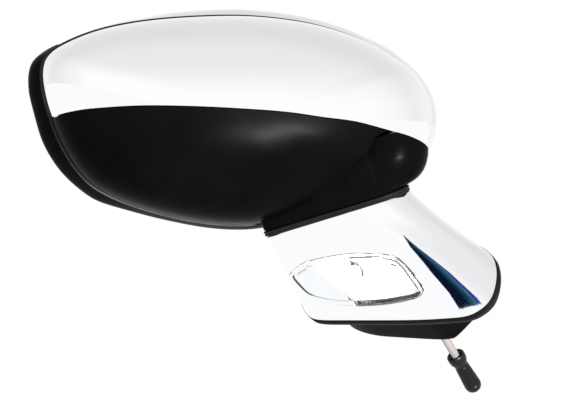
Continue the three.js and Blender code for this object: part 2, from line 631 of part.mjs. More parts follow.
// radius, z
const BULB = [
  [0, 3.2], [2.4, 3.7], [4.2, 5.6], [4.8, 8.4], [4.4, 10.8], [3.4, 12.4], [3.4, 18.6], [0, 18.6],
];
const SOCKET = [
  [0, 19], [3.7, 19], [3.7, 12.9], [4.7, 12.9], [4.7, 14.3], [8, 14.3], [8, 16.3],
  [6.4, 16.3], [6.4, 24], [0, 24],
];
const [leadX, leadY] = LEAD_AT;
const leadPoints = [
  at(LAMP, 0, 0, 24.4), at(LAMP, 0, 0, 28), ...[42, 52, 60].map((z) => doorPoint(leadX, leadY, z)),
];
const connector = block(DOOR, leadX - 5, leadX + 5, leadY - 6, leadY + 4, 60.4, 72);
add("lamp_lens", lampLens(), "clear");
add("lamp_reflector", lampReflector(), "reflector");
add("lamp_bulb", turned(LAMP, BULB, 16), "clear");
add("bulb_socket", turned(LAMP, SOCKET, 18), "frame");
add("lamp_lead", tubeAlong(leadPoints, 1.2, 12), "wire");
add("lamp_connector", connector, "frame");

// ---- base ----
const plateOutline = inset(smooth(FLANGE, 44), -0.4);
// plate on the door, the column that carries the pivot, and the studs
function baseFrame() {
  const columnRoom = prismZ(DOOR, inset(plateOutline, -20), -30, PLATE_Z + 1);
  return cut(
    join(
      prismZ(DOOR, plateOutline, PLATE_Z, PLATE_Z + PLATE_T),
      rodZ(JOINT, 0, 0, -80, 0, COLUMN_R, 24).intersect(columnRoom),
      ...STUDS.map(([x, y]) => rodZ(DOOR, x, y, PLATE_Z + 1, STUD_END, 3, 12)),
    ),
    rodZ(JOINT, 0, 0, -100, -14.2, 8.8, 20),
    rodZ(JOINT, 0, 0, -30, 5, 6.3, 20),
    rodZ(DOOR, ...LEAD_AT, 40, 55, 3, 12),
  );
}
const boxOutline = smooth(BOX, 30);
const doorGasket = () => cut(
  prismZ(DOOR, inset(plateOutline, 0.2), GASKET_Z, DOOR_FACE_Z),
  prismZ(DOOR, inset(boxOutline, -0.6), PLATE_Z, 60),
  ...STUDS.map(([x, y]) => rodZ(DOOR, x, y, 40, 60, 3.6, 12)),
);
add("base_frame", baseFrame(), "grey");
STUDS.forEach(([x, y], i) => {
  const hexagon = rodZ(DOOR, x, y, NUT_Z, NUT_Z + 5, 5.77, 6);
  add(`mount_nut_${i + 1}`, cut(hexagon, rodZ(DOOR, x, y, NUT_Z - 1, NUT_Z + 6, 3.3, 12)), "steel");
});
add("door_gasket", doorGasket(), "rubber");

// box through the door face, with the stick's fork inside
function baseBox() {
  // stations are inset, z
  const body = (stations) => loft(stations.map(([distance, z]) =>
    inset(boxOutline, distance).map(([x, y]) => doorPoint(x, y, z))));
  const pinHole = rodX(DOOR, LEVER_Y, LEVER_Z, LEVER_X - 20, LEVER_X + 20, LEVER_HOLE_R, 12);
  const cheeks = [-1, 1].map((side) => {
    const x = LEVER_X + side * 10.6;
    return cut(block(DOOR, x - 1.6, x + 1.6, LEVER_Y - 4, LEVER_Y + 4, 64.5, BOX_END - 1.5),
      pinHole);
  });
  const walls = cut(
    body([[0, GASKET_Z], [0, BOX_END - 4], [1.2, BOX_END - 1.2], [3, BOX_END]]),
    body([[2.4, GASKET_Z - 3], [2.4, BOX_END - 5], [4.4, BOX_END - 2.4]]),
    rodZ(DOOR, LEVER_X, LEVER_Y - 2.8, 70, 90, 7.2, 20),
  );
  return join(walls, ...cheeks);
}
// DOOR x, y of the sheath ends on the bridge
const bridgeHoles = LEVER_WIRES.map(([x, y]) => [LEVER_X + x, LEVER_Y + 1 + y]);
const sheathBridge = () => cut(
  block(DOOR, LEVER_X - 17.5, LEVER_X + 17.5, LEVER_Y - 6, LEVER_Y + 9,
    GASKET_Z + 0.6, GASKET_Z + 3),
  ...bridgeHoles.map(([x, y]) => rodZ(DOOR, x, y, 40, 60, 1.7, 10)),
);
add("base_box", baseBox(), "black");
add("sheath_bridge", sheathBridge(), "frame");

// ================= stick =================
const leverCross = () => join(
  block(LEVER, -2.6, 2.6, -2.6, 2.6, -2.6, 2.6),
  rodX(LEVER, 0, 0, -11.6, 11.6, LEVER_PIN_R, 12),
  rodY(LEVER, 0, 0, -6.4, 6.4, LEVER_PIN_R, 12),
);
// frame round the cross, with a socket for the rod
function leverHub() {
  const pinHole = rodY(LEVER, 0, 0, -10, 10, LEVER_HOLE_R, 12);
  const cheeks = [-5, 5].map((y) =>
    cut(block(LEVER, -2.6, 2.6, y - 1.4, y + 1.4, -7, 6), pinHole));
  const solid = join(
    block(LEVER, -3.2, 3.2, -6.4, 6.4, 4.2, 7.2),
    block(LEVER, -7, 7, -6.4, 6.4, -7.4, -5.2),
    ...cheeks,
    rodZ(LEVER, 0, 0, 6, 12, 3.4, 16),
  );
  return cut(solid, rodZ(LEVER, 0, 0, 8.4, 14, ROD_HOLE_R, 16));
}
// radius, z
const KNOB = [
  [0, 0], [2.9, 0], [5.4, -1.6], [6.1, 0.4], [6, 3], [4.5, 6.5], [5.1, 13], [5.7, 20],
  [5.4, 24.2], [3.4, 27.6], [0, 28.4],
];
const leverKnob = () =>
  cut(turned(shift(LEVER, 0, 0, 37), KNOB, 20), rodZ(LEVER, 0, 0, 20, 49.3, ROD_HOLE_R, 16));
add("lever_cross", leverCross(), "steel");
add("lever_hub", leverHub(), "frame");
add("lever_rod", rodZ(LEVER, 0, 0, 8.8, 49, 2.5, 20), "grey");
add("lever_knob", leverKnob(), "rubber");
LEVER_WIRES.forEach(([x, y], i) => {
  const wire = join(rodZ(LEVER, x, y, -13, -8, 0.6, 8), rodZ(LEVER, x, y, -9.2, -7.6, 1.4, 8));
  add(`lever_pull_wire_${i + 1}`, wire, "steel");
});

// ================= sheaths =================
// from the bridge up the column and through the pivot tube, then across the head to the cups
const SHEATH_R = 1.3;
const IN_TUBE = [[2.1, -1.2], [-2.1, -1.2], [0, 2.4]]; // JOINT x, y
// HEAD x, y, z on the way across the head
const ROUTES = [
  [[70, -17, 7], [48, -19, 12], [10, -18, 11], [CENTRE_X - 22, -12, CENTRE_Z + 3]],
  [[62, -21, 3], [48, -15, 1]],
  [[66, -11, 1], [52, -8, -9], [26, -7, -23]],
];
IN_TUBE.forEach(([x, y], i) => {
  const inTube = (z) => at(JOINT, x, y, z);
  const start = doorPoint(...bridgeHoles[i], GASKET_Z - 0.4);
  const leaving = start.clone().addScaledVector(intoDoor, -6);
  const footPoints = [start, leaving, inTube(-30), inTube(-5), inTube(41)];
  add(`sheath_foot_${i + 1}`, tubeAlong(footPoints, SHEATH_R, 12), "wire");

  const [wireX, wireZ] = GLASS_WIRES[i];
  const atCup = (cupY) => headPoint(CENTRE_X + wireX, cupY, CENTRE_Z + wireZ);
  const across = ROUTES[i].map((place) => headPoint(...place));
  const headPoints = [inTube(42), inTube(46), ...across, atCup(-5), atCup(3.6)];
  add(`sheath_head_${i + 1}`, tubeAlong(headPoints, SHEATH_R, 20), "wire");
});

// turn to the car's axes and bring the origin to the gasket's door face
view.rotation.z = -turn;
const origin = doorPoint(...ORIGIN_AT, DOOR_FACE_Z)
  .applyMatrix4(new THREE.Matrix4().makeRotationZ(-turn));
view.position.set(-origin.x, -origin.y, -origin.z);
const part = new THREE.Group();
part.add(view);
export default part;
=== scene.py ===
"""A car's door mirror: a folding head with its glass, on a chromed foot with a side lamp, and
behind the foot a base box with an adjusting stick.

Shapes are worked out in millimetres in the view frame: x to the right, y away from the camera,
z up. to_part() turns them into the part's own frame: metres, +Z up, turned 45 degrees about Z.
"""
from math import acos, atan2, cos, pi, radians as rad, sin, sqrt

import bmesh
import bpy
import numpy as np
from mathutils import Matrix, Vector
from mathutils.bvhtree import BVHTree

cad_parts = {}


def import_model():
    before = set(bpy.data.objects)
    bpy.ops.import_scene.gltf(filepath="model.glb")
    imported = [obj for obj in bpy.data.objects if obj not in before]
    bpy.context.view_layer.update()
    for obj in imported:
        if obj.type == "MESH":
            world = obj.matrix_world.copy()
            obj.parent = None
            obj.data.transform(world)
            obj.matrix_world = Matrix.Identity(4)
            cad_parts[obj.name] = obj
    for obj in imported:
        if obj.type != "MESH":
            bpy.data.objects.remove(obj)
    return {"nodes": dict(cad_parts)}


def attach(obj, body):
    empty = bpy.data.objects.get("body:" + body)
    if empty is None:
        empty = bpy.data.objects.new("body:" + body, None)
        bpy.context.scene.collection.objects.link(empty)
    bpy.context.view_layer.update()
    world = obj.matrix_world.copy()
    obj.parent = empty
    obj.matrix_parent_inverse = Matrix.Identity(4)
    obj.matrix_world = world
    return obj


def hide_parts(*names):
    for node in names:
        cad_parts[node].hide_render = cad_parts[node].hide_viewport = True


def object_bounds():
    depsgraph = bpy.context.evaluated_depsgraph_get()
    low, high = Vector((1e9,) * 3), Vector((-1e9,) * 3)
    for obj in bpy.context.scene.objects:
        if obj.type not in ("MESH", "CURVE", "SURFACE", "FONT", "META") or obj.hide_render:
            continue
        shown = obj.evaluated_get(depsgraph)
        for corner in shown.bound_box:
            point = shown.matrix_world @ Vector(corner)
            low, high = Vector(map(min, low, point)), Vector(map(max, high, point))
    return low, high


CAD_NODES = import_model()["nodes"]
CAD_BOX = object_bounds()
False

# ---------------------------------------------------------------- sizes, in mm
FOOT_H = 46.0                        # along the door frame's z, as are the next three
PLATE_T = 2.6
GASKET_T = 2.6
BOX_END = 80.0
GASKET_Z = FOOT_H + PLATE_T + 0.2    # where gasket and box begin
SEAL_T = 3.0                         # along the joint's axis
COLUMN_HOLE_R = 14.4                 # opening of the foot cover and of the seal
SEAM_Y = 18.3                        # plane of the shell's edge in the head
SHELL_DEPTH = 62.0
SHELL_POWER = 2.3                    # exponent of the shell's superellipse
SHELL_CENTRE = np.array([8.0, -1.0])
SHELL_SKIN = 2.5
FOOT_CENTRE = np.array([6.0, -32.0])     # door frame, x and y
STICK_PIVOT = np.array([-10, -40, 68])   # door frame
STICK_HOLE = np.array([-10.0, -42.8])    # door frame, x and y
STUDS = [(-43, -14), (-47, -32), (72.4, -35)]  # door frame, x and y


# ---------------------------------------------------------------- frames
def unit(v):
    return np.asarray(v, float) / np.linalg.norm(v)


def make_frame(x, y, z, origin):
    frame = np.eye(4)
    frame[:3, 0], frame[:3, 1], frame[:3, 2], frame[:3, 3] = x, y, z, origin
    return frame


def frame_along(axis, origin):
    """Frame with z along the axis and x as near as can be to the view's x."""
    x = unit(np.array([1, 0, 0]) - axis * axis[0])
    return make_frame(x, np.cross(axis, x), axis, origin)


def at(frame, points):
    points = np.atleast_2d(np.asarray(points, float))
    return points @ frame[:3, :3].T + frame[:3, 3]


def to_local(frame, points):
    return (points - frame[:3, 3]) @ frame[:3, :3]


# joint: z up along the fold axis, zero on top of the seal
FOLD_AXIS = unit([-0.3207, -0.0849, 0.9433])
JOINT = frame_along(FOLD_AXIS, [0, 0, 0])

# head: x across, y towards the glass, z up
TURN = rad(10)
HEAD = make_frame([cos(TURN), sin(TURN), 0], [-sin(TURN), cos(TURN), 0], [0, 0, 1], [-88, 0, 47])

# door: z out of the foot through its base plate
PART_TURN, DOOR_TILT = rad(45), rad(35)
DOOR_OUT = np.array([cos(DOOR_TILT) * cos(PART_TURN), cos(DOOR_TILT) * sin(PART_TURN),
                     -sin(DOOR_TILT)])
DOOR_X = np.array([-sin(PART_TURN), cos(PART_TURN), 0])
DOOR_Y = np.array([sin(DOOR_TILT) * cos(PART_TURN), sin(DOOR_TILT) * sin(PART_TURN),
                   cos(DOOR_TILT)])
DOOR = make_frame(DOOR_X, DOOR_Y, DOOR_OUT, [0, 0, 0])

# lever: z along the stick, tilted about the door's x
TILT = rad(14)
LEVER = make_frame(DOOR_X, DOOR_Y * cos(TILT) + DOOR_OUT * sin(TILT),
                   -DOOR_Y * sin(TILT) + DOOR_OUT * cos(TILT), DOOR[:3, :3] @ STICK_PIVOT)

VIEW = np.eye(4)
VIEW_TO_PART = np.array([[cos(PART_TURN), sin(PART_TURN), 0],
                         [-sin(PART_TURN), cos(PART_TURN), 0], [0, 0, 1]])
PART_ORIGIN = VIEW_TO_PART @ at(DOOR, [3, -57.6, GASKET_Z + GASKET_T])[0]


def to_part(points):
    return (np.atleast_2d(points) @ VIEW_TO_PART.T - PART_ORIGIN) / 1000


def to_view(points):
    return (np.atleast_2d(np.asarray(points)) * 1000 + PART_ORIGIN) @ VIEW_TO_PART


# ---------------------------------------------------------------- curves
def periodic_spline(points, count):
    """Closed cubic spline through the points, in equal steps of index."""
    points = np.asarray(points, float)
    size = len(points)
    system = 4 * np.eye(size) + np.roll(np.eye(size), 1, 0) + np.roll(np.eye(size), -1, 0)
    bend = 6 * (np.roll(points, -1, 0) - 2 * points + np.roll(points, 1, 0))
    curve = np.linalg.solve(system, bend)
    place = np.arange(count) * size / count
    i = np.floor(place).astype(int)
    j = (i + 1) % size
    t = (place - i)[:, None]
    return ((1 - t) * points[i] + t * points[j]
            - t * (1 - t) / 6 * ((2 - t) * curve[i] + (1 + t) * curve[j]))


def open_spline(points, count):
    """Hermite curve through the points, with slopes by length."""
    points = np.asarray(points, float)
    length = np.r_[0, np.cumsum(np.linalg.norm(np.diff(points, axis=0), axis=1))]
    slope = np.gradient(points, length, axis=0)
    place = np.linspace(0, length[-1], count)
    i = np.clip(np.searchsorted(length, place) - 1, 0, len(points) - 2)
    step = (length[i + 1] - length[i])[:, None]
    u = ((place - length[i]) / (length[i + 1] - length[i]))[:, None]
    return ((2*u**3 - 3*u**2 + 1) * points[i] + (u**3 - 2*u**2 + u) * step * slope[i]
            + (-2*u**3 + 3*u**2) * points[i + 1] + (u**3 - u**2) * step * slope[i + 1])


def even(points, count, closed=True):
    """Resampled to equal steps of length."""
    points = np.vstack([points, points[:1]]) if closed else np.asarray(points)
    length = np.r_[0, np.cumsum(np.linalg.norm(np.diff(points, axis=0), axis=1))]
    place = np.linspace(0, length[-1], count + closed)[:count]
    return np.stack([np.interp(place, length, column) for column in points.T], 1)


def smooth_closed(points, count):
    return even(periodic_spline(points, 4000), count)


def cross_terms(outline):
    x, y = outline[:, 0], outline[:, 1]
    return x * np.roll(y, -1) - np.roll(x, -1) * y


def centroid(outline):
    cross = cross_terms(outline)
    pair_sums = outline + np.roll(outline, -1, 0)
    return np.array([np.sum(column * cross) for column in pair_sums.T]) / (3 * cross.sum())


def inward_normals(outline):
    tangent = np.roll(outline, -1, 0) - np.roll(outline, 1, 0)
    tangent /= np.linalg.norm(tangent, axis=1)[:, None]
    sign = 1 if np.sum(cross_terms(outline)) > 0 else -1
    return sign * np.stack([-tangent[:, 1], tangent[:, 0]], 1)


def inset(outline, distance):
    outline = np.asarray(outline, float)
    return outline + distance * inward_normals(outline)


def scaled(outline, centre, ratio):
    return centre + ratio * (outline - centre)


def radius_at(outline, centre, angles):
    """Distance of the outline from the centre in the directions of the angles."""
    offset = outline - centre
    angle, radius = np.arctan2(offset[:, 1], offset[:, 0]), np.hypot(offset[:, 0], offset[:, 1])
    order = np.argsort(angle)
    angle, radius = angle[order], radius[order]
    return np.interp(angles, np.r_[angle - 2 * pi, angle, angle + 2 * pi],
                     np.r_[radius, radius, radius])


def by_angle(outline, centre, angles):
    """Outline resampled at the given angles about the centre."""
    radius = radius_at(outline, centre, (np.asarray(angles) + pi) % (2 * pi) - pi)
    return centre + np.stack([radius * np.cos(angles), radius * np.sin(angles)], 1)


def disc(x, y, radius, count):
    angle = np.linspace(0, 2 * pi, count, endpoint=False)
    return np.stack([x + radius * np.cos(angle), y + radius * np.sin(angle)], 1)


def teardrop(growth):
    """Joint outline in the joint's x and y: two circles and their tangents."""
    big, small, small_centre = 17 + growth, 8 + growth, np.array([-66, 10.0])
    base = atan2(small_centre[1], small_centre[0])
    contact = acos((big - small) / np.hypot(*small_centre))
    a = np.linspace(base + contact, base + 2 * pi - contact, 720)
    b = np.linspace(base - contact, base + contact, 480)
    big_arc = np.stack([big * np.cos(a), big * np.sin(a)], 1)
    small_arc = small_centre + np.stack([small * np.cos(b), small * np.sin(b)], 1)
    return even(np.vstack([big_arc, small_arc]), 1200)


# ---------------------------------------------------------------- meshes
def on_plane(frame, outline, place, axis="z"):
    """A plane outline set square to one of the frame's axes, at a place along it."""
    outline = np.asarray(outline, float)
    return at(frame, np.insert(outline, "xyz".index(axis), place, axis=1))


def circle(frame, x, y, z, radius, count=64):
    return on_plane(frame, disc(x, y, radius, count), z)


def grid_faces(rows, cols, wrap=True, base=0):
    return [(base + r * cols + c, base + r * cols + (c + 1) % cols,
             base + (r + 1) * cols + (c + 1) % cols, base + (r + 1) * cols + c)
            for r in range(rows - 1) for c in range(cols if wrap else cols - 1)]


def ring_mesh(rings, closed=False, cap_first=False, cap_last=False):
    """Points and faces through a list of rings; closed joins the last ring to the first."""
    cols = len(rings[0])
    points = np.vstack(rings)
    last = len(points) - cols
    faces = grid_faces(len(rings), cols)
    if closed:
        faces += [(last + c, last + (c + 1) % cols, (c + 1) % cols, c) for c in range(cols)]
    if cap_first:
        faces.append(tuple(range(cols))[::-1])
    if cap_last:
        faces.append(tuple(range(last, len(points))))
    return points, faces


def build(name, points, faces, weld):
    """Object from points in the view frame; points closer than weld metres are merged."""
    mesh = bpy.data.meshes.new(name)
    mesh.from_pydata([tuple(p) for p in to_part(points)], [],
                     [tuple(int(i) for i in face) for face in faces])
    bm = bmesh.new()
    bm.from_mesh(mesh)
    bmesh.ops.remove_doubles(bm, verts=bm.verts, dist=weld)
    bmesh.ops.recalc_face_normals(bm, faces=bm.faces)
    bm.to_mesh(mesh)
    bm.free()
    piece = bpy.data.objects.new(name, mesh)
    bpy.context.scene.collection.objects.link(piece)
    return piece


def shade(mesh, sharp):
    """Smooth shading with edges sharp from an angle in degrees; None leaves it alone."""
    if sharp is not None:
        mesh.shade_smooth()
        mesh.set_sharp_from_angle(angle=rad(sharp))


def dress(piece, material, body=None, replaces=None, slot=None, sharp=None):
    shade(piece.data, sharp)
    piece.data.materials.clear()
    piece.data.materials.append(material)
    if body:
        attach(piece, body)
    if replaces:
        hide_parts(replaces)
    return piece


def make(name, points, faces, material, **how):
    return dress(build(name, points, faces, weld=2e-6), material, **how)


def skin(name, rings, material, closed=False, cap_first=False, cap_last=False, **how):
    return make(name, *ring_mesh(rings, closed, cap_first, cap_last), material, **how)


def lathe(name, frame, profile, material, count=64, **how):
    """Body turned about the frame's z; pairs of (radius, z) that start and end on the axis."""
    inner = profile[1:-1]
    circles = [circle(frame, 0, 0, z, radius, count) for radius, z in inner]
    ends = [at(frame, [0, 0, z]) for _, z in (profile[0], profile[-1])]
    last = (len(inner) - 1) * count
    start_point, end_point = last + count, last + count + 1
    faces = grid_faces(len(inner), count)
    faces += [(start_point, (c + 1) % count, c) for c in range(count)]
    faces += [(end_point, last + c, last + (c + 1) % count) for c in range(count)]
    return make(name, np.vstack(circles + ends), faces, material, **how)


def solid(rings, name="cutter"):
    """Capped body without a material, for booleans."""
    return build(name, *ring_mesh(rings, cap_first=True, cap_last=True), weld=1e-7)


def prism(frame, outline, start, end, axis="z", name="cutter"):
    return solid([on_plane(frame, outline, place, axis) for place in (start, end)], name)


def rod(frame, x, y, start, end, radius, count=72):
    return prism(frame, disc(x, y, radius, count), start, end)


def head_box(x0, x1, y0, y1, z0, z1):
    return prism(HEAD, [(x0, z0), (x1, z0), (x1, z1), (x0, z1)], y0, y1, "y")


def bake(piece, sharp):
    """Bakes the modifiers into the mesh."""
    depsgraph = bpy.context.evaluated_depsgraph_get()
    depsgraph.update()
    mesh = bpy.data.meshes.new_from_object(piece.evaluated_get(depsgraph), depsgraph=depsgraph)
    piece.modifiers.clear()
    piece.data = mesh
    mesh.name = piece.name
    shade(mesh, sharp)


def boolean(piece, tool, operation="DIFFERENCE", sharp=40):
    """Combines the piece with a tool, which is used up."""
    modifier = piece.modifiers.new("b", "BOOLEAN")
    modifier.solver = "EXACT"
    modifier.operation = operation
    modifier.object = tool
    bake(piece, sharp)
    bpy.data.objects.remove(tool)


def thicken(piece, inside, thickness, sharp):
    """Turns all faces away from a view-frame point, then adds a thickness in mm behind them."""
    face_outward(piece, inside)
    modifier = piece.modifiers.new("s", "SOLIDIFY")
    modifier.thickness = thickness / 1000
    modifier.offset = -1
    modifier.use_even_offset = True
    modifier.use_rim = True
    bake(piece, sharp)


def face_outward(piece, inside):
    bm = bmesh.new()
    bm.from_mesh(piece.data)
    bmesh.ops.recalc_face_normals(bm, faces=bm.faces)
    middle = Vector(to_part(inside)[0])
    if sum((f.calc_center_median() - middle).dot(f.normal) * f.calc_area() for f in bm.faces) < 0:
        bmesh.ops.reverse_faces(bm, faces=bm.faces)
    bm.to_mesh(piece.data)
    bm.free()


# ---------------------------------------------------------------- outlines, in mm
# front edge of the glass side of the head, and the shell's seam: head frame, (x, z)
RIM = [
    (2.9, 66.62), (-15.71, 65.64), (-34.23, 63.81), (-52.68, 60.27), (-71.05, 56.38),
    (-90.56, 49.09), (-105.14, 43.1), (-113.62, 37.92), (-118.76, 32.41), (-120.87, 24.52),
    (-120.57, 14.83), (-118.46, 5.15), (-114.83, -8.17), (-110.59, -19.06), (-103.44, -30.57),
    (-95.12, -39.66), (-85.81, -47.25), (-75.94, -52.43), (-60.65, -57.0), (-46.54, -60.8),
    (-32.38, -64.06), (-18.18, -66.78), (-3.31, -68.59), (12.23, -68.93), (27.82, -66.93),
    (46.61, -61.71), (68.63, -54.62), (89.49, -47.81), (105.36, -41.9), (116.82, -34.42),
    (124.48, -25.69), (129.59, -16.95), (132.15, -6.96), (132.79, 2.39), (130.87, 11.73),
    (127.68, 19.18), (120.46, 28.77), (109.82, 38.01), (99.01, 45.17), (88.67, 49.9),
    (78.1, 54.42), (57.11, 60.85), (35.96, 64.53), (19.71, 66.17)]
SEAM = [
    (0.13, 60.92), (-18.25, 60.27), (-36.56, 58.94), (-54.78, 56.78), (-72.94, 53.25),
    (-87.41, 48.87), (-99.43, 43.63), (-107.82, 38.44), (-112.31, 32.7), (-113.92, 26.09),
    (-113.51, 17.71), (-111.29, 7.24), (-108.54, -1.44), (-104.82, -11.61), (-99.73, -21.79),
    (-93.42, -31.38), (-86.2, -39.48), (-77.16, -45.79), (-62.66, -52.41), (-48.72, -56.94),
    (-34.73, -60.58), (-20.69, -63.32), (-6.0, -65.16), (9.35, -65.49), (24.77, -63.39),
    (43.33, -58.23), (65.09, -51.21), (84.45, -44.16), (98.87, -38.01), (108.93, -31.24),
    (115.55, -23.53), (120.28, -16.14), (123.12, -7.51), (124.06, 3.58), (122.17, 12.19),
    (118.38, 19.55), (111.45, 28.71), (101.39, 35.69), (90.72, 42.33), (80.7, 47.12),
    (68.83, 51.46), (50.78, 56.26), (32.8, 59.09), (16.74, 60.53)]
# line between chrome cap and black housing: head frame, (x, z)
SPLIT = [
    (-129.56, -10.36), (-119.09, -5.35), (-111.74, -2.51), (-105.08, -0.31), (-94.54, 1.92),
    (-80.45, 3.19), (-63.95, 4.05), (-35.52, 3.88), (-5.7, 2.66), (26.14, 0.48), (46.69, -2.2),
    (66.73, -4.53), (83.2, -8.15), (92.99, -10.5), (102.18, -13.45), (110.79, -17.31),
    (116.32, -21.49), (124.95, -27.17)]
# above this the rim is chrome, below it black: head frame, (x, z)
CHROME_RIM = [(-160, 90), (-160, 62), (-104.5, 44.5), (-84, 26), (0, -8), (105, -18),
              (124, -21.5), (150, -30), (150, 90)]
# wide end of the foot: door frame, (x, y)
FLANGE = [
    (72.62, -53.5), (66.33, -58.46), (56.49, -62.13), (36.06, -62.03), (3.47, -60.71),
    (-28.0, -59.08), (-49.09, -57.17), (-63.43, -54.86), (-71.02, -50.04), (-74.51, -44.7),
    (-74.92, -37.7), (-72.77, -29.35), (-69.06, -21.68), (-62.48, -13.65), (-52.62, -7.75),
    (-37.69, -2.92), (-14.02, -0.33), (10.52, -0.27), (34.05, -3.21), (56.21, -9.57),
    (72.33, -19.71), (79.53, -33.49), (78.9, -45.5)]
# side lamp lens: view frame, (x, z)
LENS = [
    (-55.2, -48.6), (-51.6, -44.4), (-45.0, -40.8), (-33.6, -37.8), (-21.6, -35.82),
    (-9.6, -35.22), (3.0, -35.88), (10.2, -38.4), (15.6, -43.8), (19.8, -49.8), (23.4, -55.2),
    (23.7, -58.5), (20.4, -61.8), (11.4, -64.5), (-0.6, -66.72), (-18.6, -67.98),
    (-33.6, -66.78), (-43.8, -63.6), (-49.8, -58.5), (-54.0, -53.4)]
# base box: door frame, (x, y)
BOX = [
    (66, -40), (57, -48), (37, -52.3), (16, -53), (-16, -53), (-25, -52), (-29, -50), (-35, -40),
    (-38, -30), (-36, -16), (-25, -10), (20, -9), (50, -13), (62, -22), (66, -32)]

SEAM_OUTLINE = periodic_spline(SEAM, 704)
RIM_OUTLINE = inset(periodic_spline(RIM, 704), 0.12)
SPLIT_LINE = open_spline(SPLIT, 3000)
FLANGE_OUTLINE = smooth_closed(FLANGE, 900)
LENS_OUTLINE = smooth_closed(LENS, 220)
LENS_CENTRE = centroid(LENS_OUTLINE)
BOX_OUTLINE = smooth_closed(BOX, 900)


# ---------------------------------------------------------------- shader helpers
def feed(node, inputs):
    """Sets inputs by name or number: a socket is linked, anything else is a value."""
    for key, value in dict(inputs).items():
        if isinstance(value, bpy.types.NodeSocket):
            node.id_data.links.new(value, node.inputs[key])
        else:
            node.inputs[key].default_value = value


def add_node(tree, kind, inputs=(), **settings):
    node = tree.nodes.new("ShaderNode" + kind)
    for name, value in settings.items():
        setattr(node, name, value)
    feed(node, inputs)
    return node


def new_material(name):
    material = bpy.data.materials.new(name)
    material.use_nodes = True
    tree = material.node_tree
    tree.nodes.clear()
    return material, tree, add_node(tree, "OutputMaterial")


def principled(name):
    material, tree, output = new_material(name)
    shader = add_node(tree, "BsdfPrincipled")
    feed(output, {0: shader.outputs[0]})
    return material, tree, shader, output


def coordinates(tree):
    found = next((n for n in tree.nodes if n.bl_idname == "ShaderNodeTexCoord"), None)
    return (found or add_node(tree, "TexCoord")).outputs["Object"]


def noise(tree, scale, detail=4, roughness=0.6, vector=None):
    return add_node(tree, "TexNoise", {
        "Scale": scale, "Detail": detail, "Roughness": roughness,
        "Vector": vector or coordinates(tree)}).outputs["Fac"]


def ramp(tree, value, stops):
    node = add_node(tree, "ValToRGB", {0: value})
    elements = node.color_ramp.elements
    while len(elements) < len(stops):
        elements.new(0.5)
    for element, (position, colour) in zip(elements, stops):
        element.position = position
        element.color = (*colour, 1)
    return node.outputs[0]


def two_tone(tree, value, first, second, start=0.3, end=0.7):
    return ramp(tree, value, [(start, first), (end, second)])


def map_range(tree, value, low, high, start=0.3, end=0.7, kind="LINEAR"):
    """Takes the value from start..end to low..high."""
    return add_node(tree, "MapRange", {0: value, 1: start, 2: end, 3: low, 4: high},
                    interpolation_type=kind).outputs[0]


def bump(tree, height, strength, depth_mm, under=None):
    node = add_node(tree, "Bump", {"Strength": strength, "Distance": depth_mm / 1000,
                                   "Height": height})
    if under:
        feed(node, {"Normal": under})
    return node.outputs[0]


def mix_colour(tree, factor, first, second):
    """Mix of a colour socket with a colour."""
    return add_node(tree, "Mix", {0: factor, 6: first, 7: (*second, 1)},
                    data_type="RGBA").outputs[2]


def mix_shader(tree, factor, first, second):
    return add_node(tree, "MixShader", {0: factor, 1: first.outputs[0],
                                        2: second.outputs[0]}).outputs[0]


def calculate(tree, operation, *values):
    return add_node(tree, "Math", enumerate(values), operation=operation).outputs[0]


def tone(colour, factor, lift=0):
    return tuple(factor * c + lift for c in colour)


# ---------------------------------------------------------------- materials
def chrome(name, colour=(0.93, 0.94, 0.95)):
    material, tree, shader, _ = principled(name)
    feed(shader, {
        "Metallic": 1.0,
        "Base Color": two_tone(tree, noise(tree, scale=9, detail=3), tone(colour, 0.985), colour),
        "Roughness": map_range(tree, noise(tree, scale=900, detail=2), low=0.018, high=0.05),
        # faint orange peel of plated plastic
        "Normal": bump(tree, noise(tree, scale=26, detail=2), strength=0.03, depth_mm=0.05)})
    return material


def plastic(name, colour=(0.0011, 0.0010, 0.0010), roughness=(0.26, 0.32), grain=1600,
            grain_strength=0.25, specular=0.008):
    material, tree, shader, _ = principled(name)
    clouds = noise(tree, scale=30)
    grains = noise(tree, scale=grain, detail=3, roughness=0.7)
    pointiness = add_node(tree, "NewGeometry").outputs["Pointiness"]
    wear = map_range(tree, pointiness, low=0, high=0.6, start=0.52, end=0.62)
    body = two_tone(tree, clouds, colour, tone(colour, 1.4, 0.0002), start=0.35)
    grain_bump = bump(tree, grains, strength=grain_strength, depth_mm=0.06)
    feed(shader, {
        "Base Color": mix_colour(tree, wear, body, tone(colour, 1.8, 0.0006)),
        "Roughness": map_range(tree, clouds, *roughness),
        "Specular IOR Level": specular,
        "Normal": bump(tree, noise(tree, scale=45, detail=2), strength=0.06, depth_mm=0.1,
                       under=grain_bump)})
    return material


def rubber(name, colour=(0.0022, 0.0022, 0.0022)):
    material, tree, shader, _ = principled(name)
    clouds = noise(tree, scale=60, detail=5)
    feed(shader, {
        "Base Color": two_tone(tree, clouds, colour, tone(colour, 2.4), end=0.75),
        "Roughness": map_range(tree, clouds, low=0.6, high=0.8),
        "Sheen Weight": 0.02,
        "Specular IOR Level": 0.08,
        "Normal": bump(tree, noise(tree, scale=2500, detail=2), strength=0.35, depth_mm=0.08)})
    return material


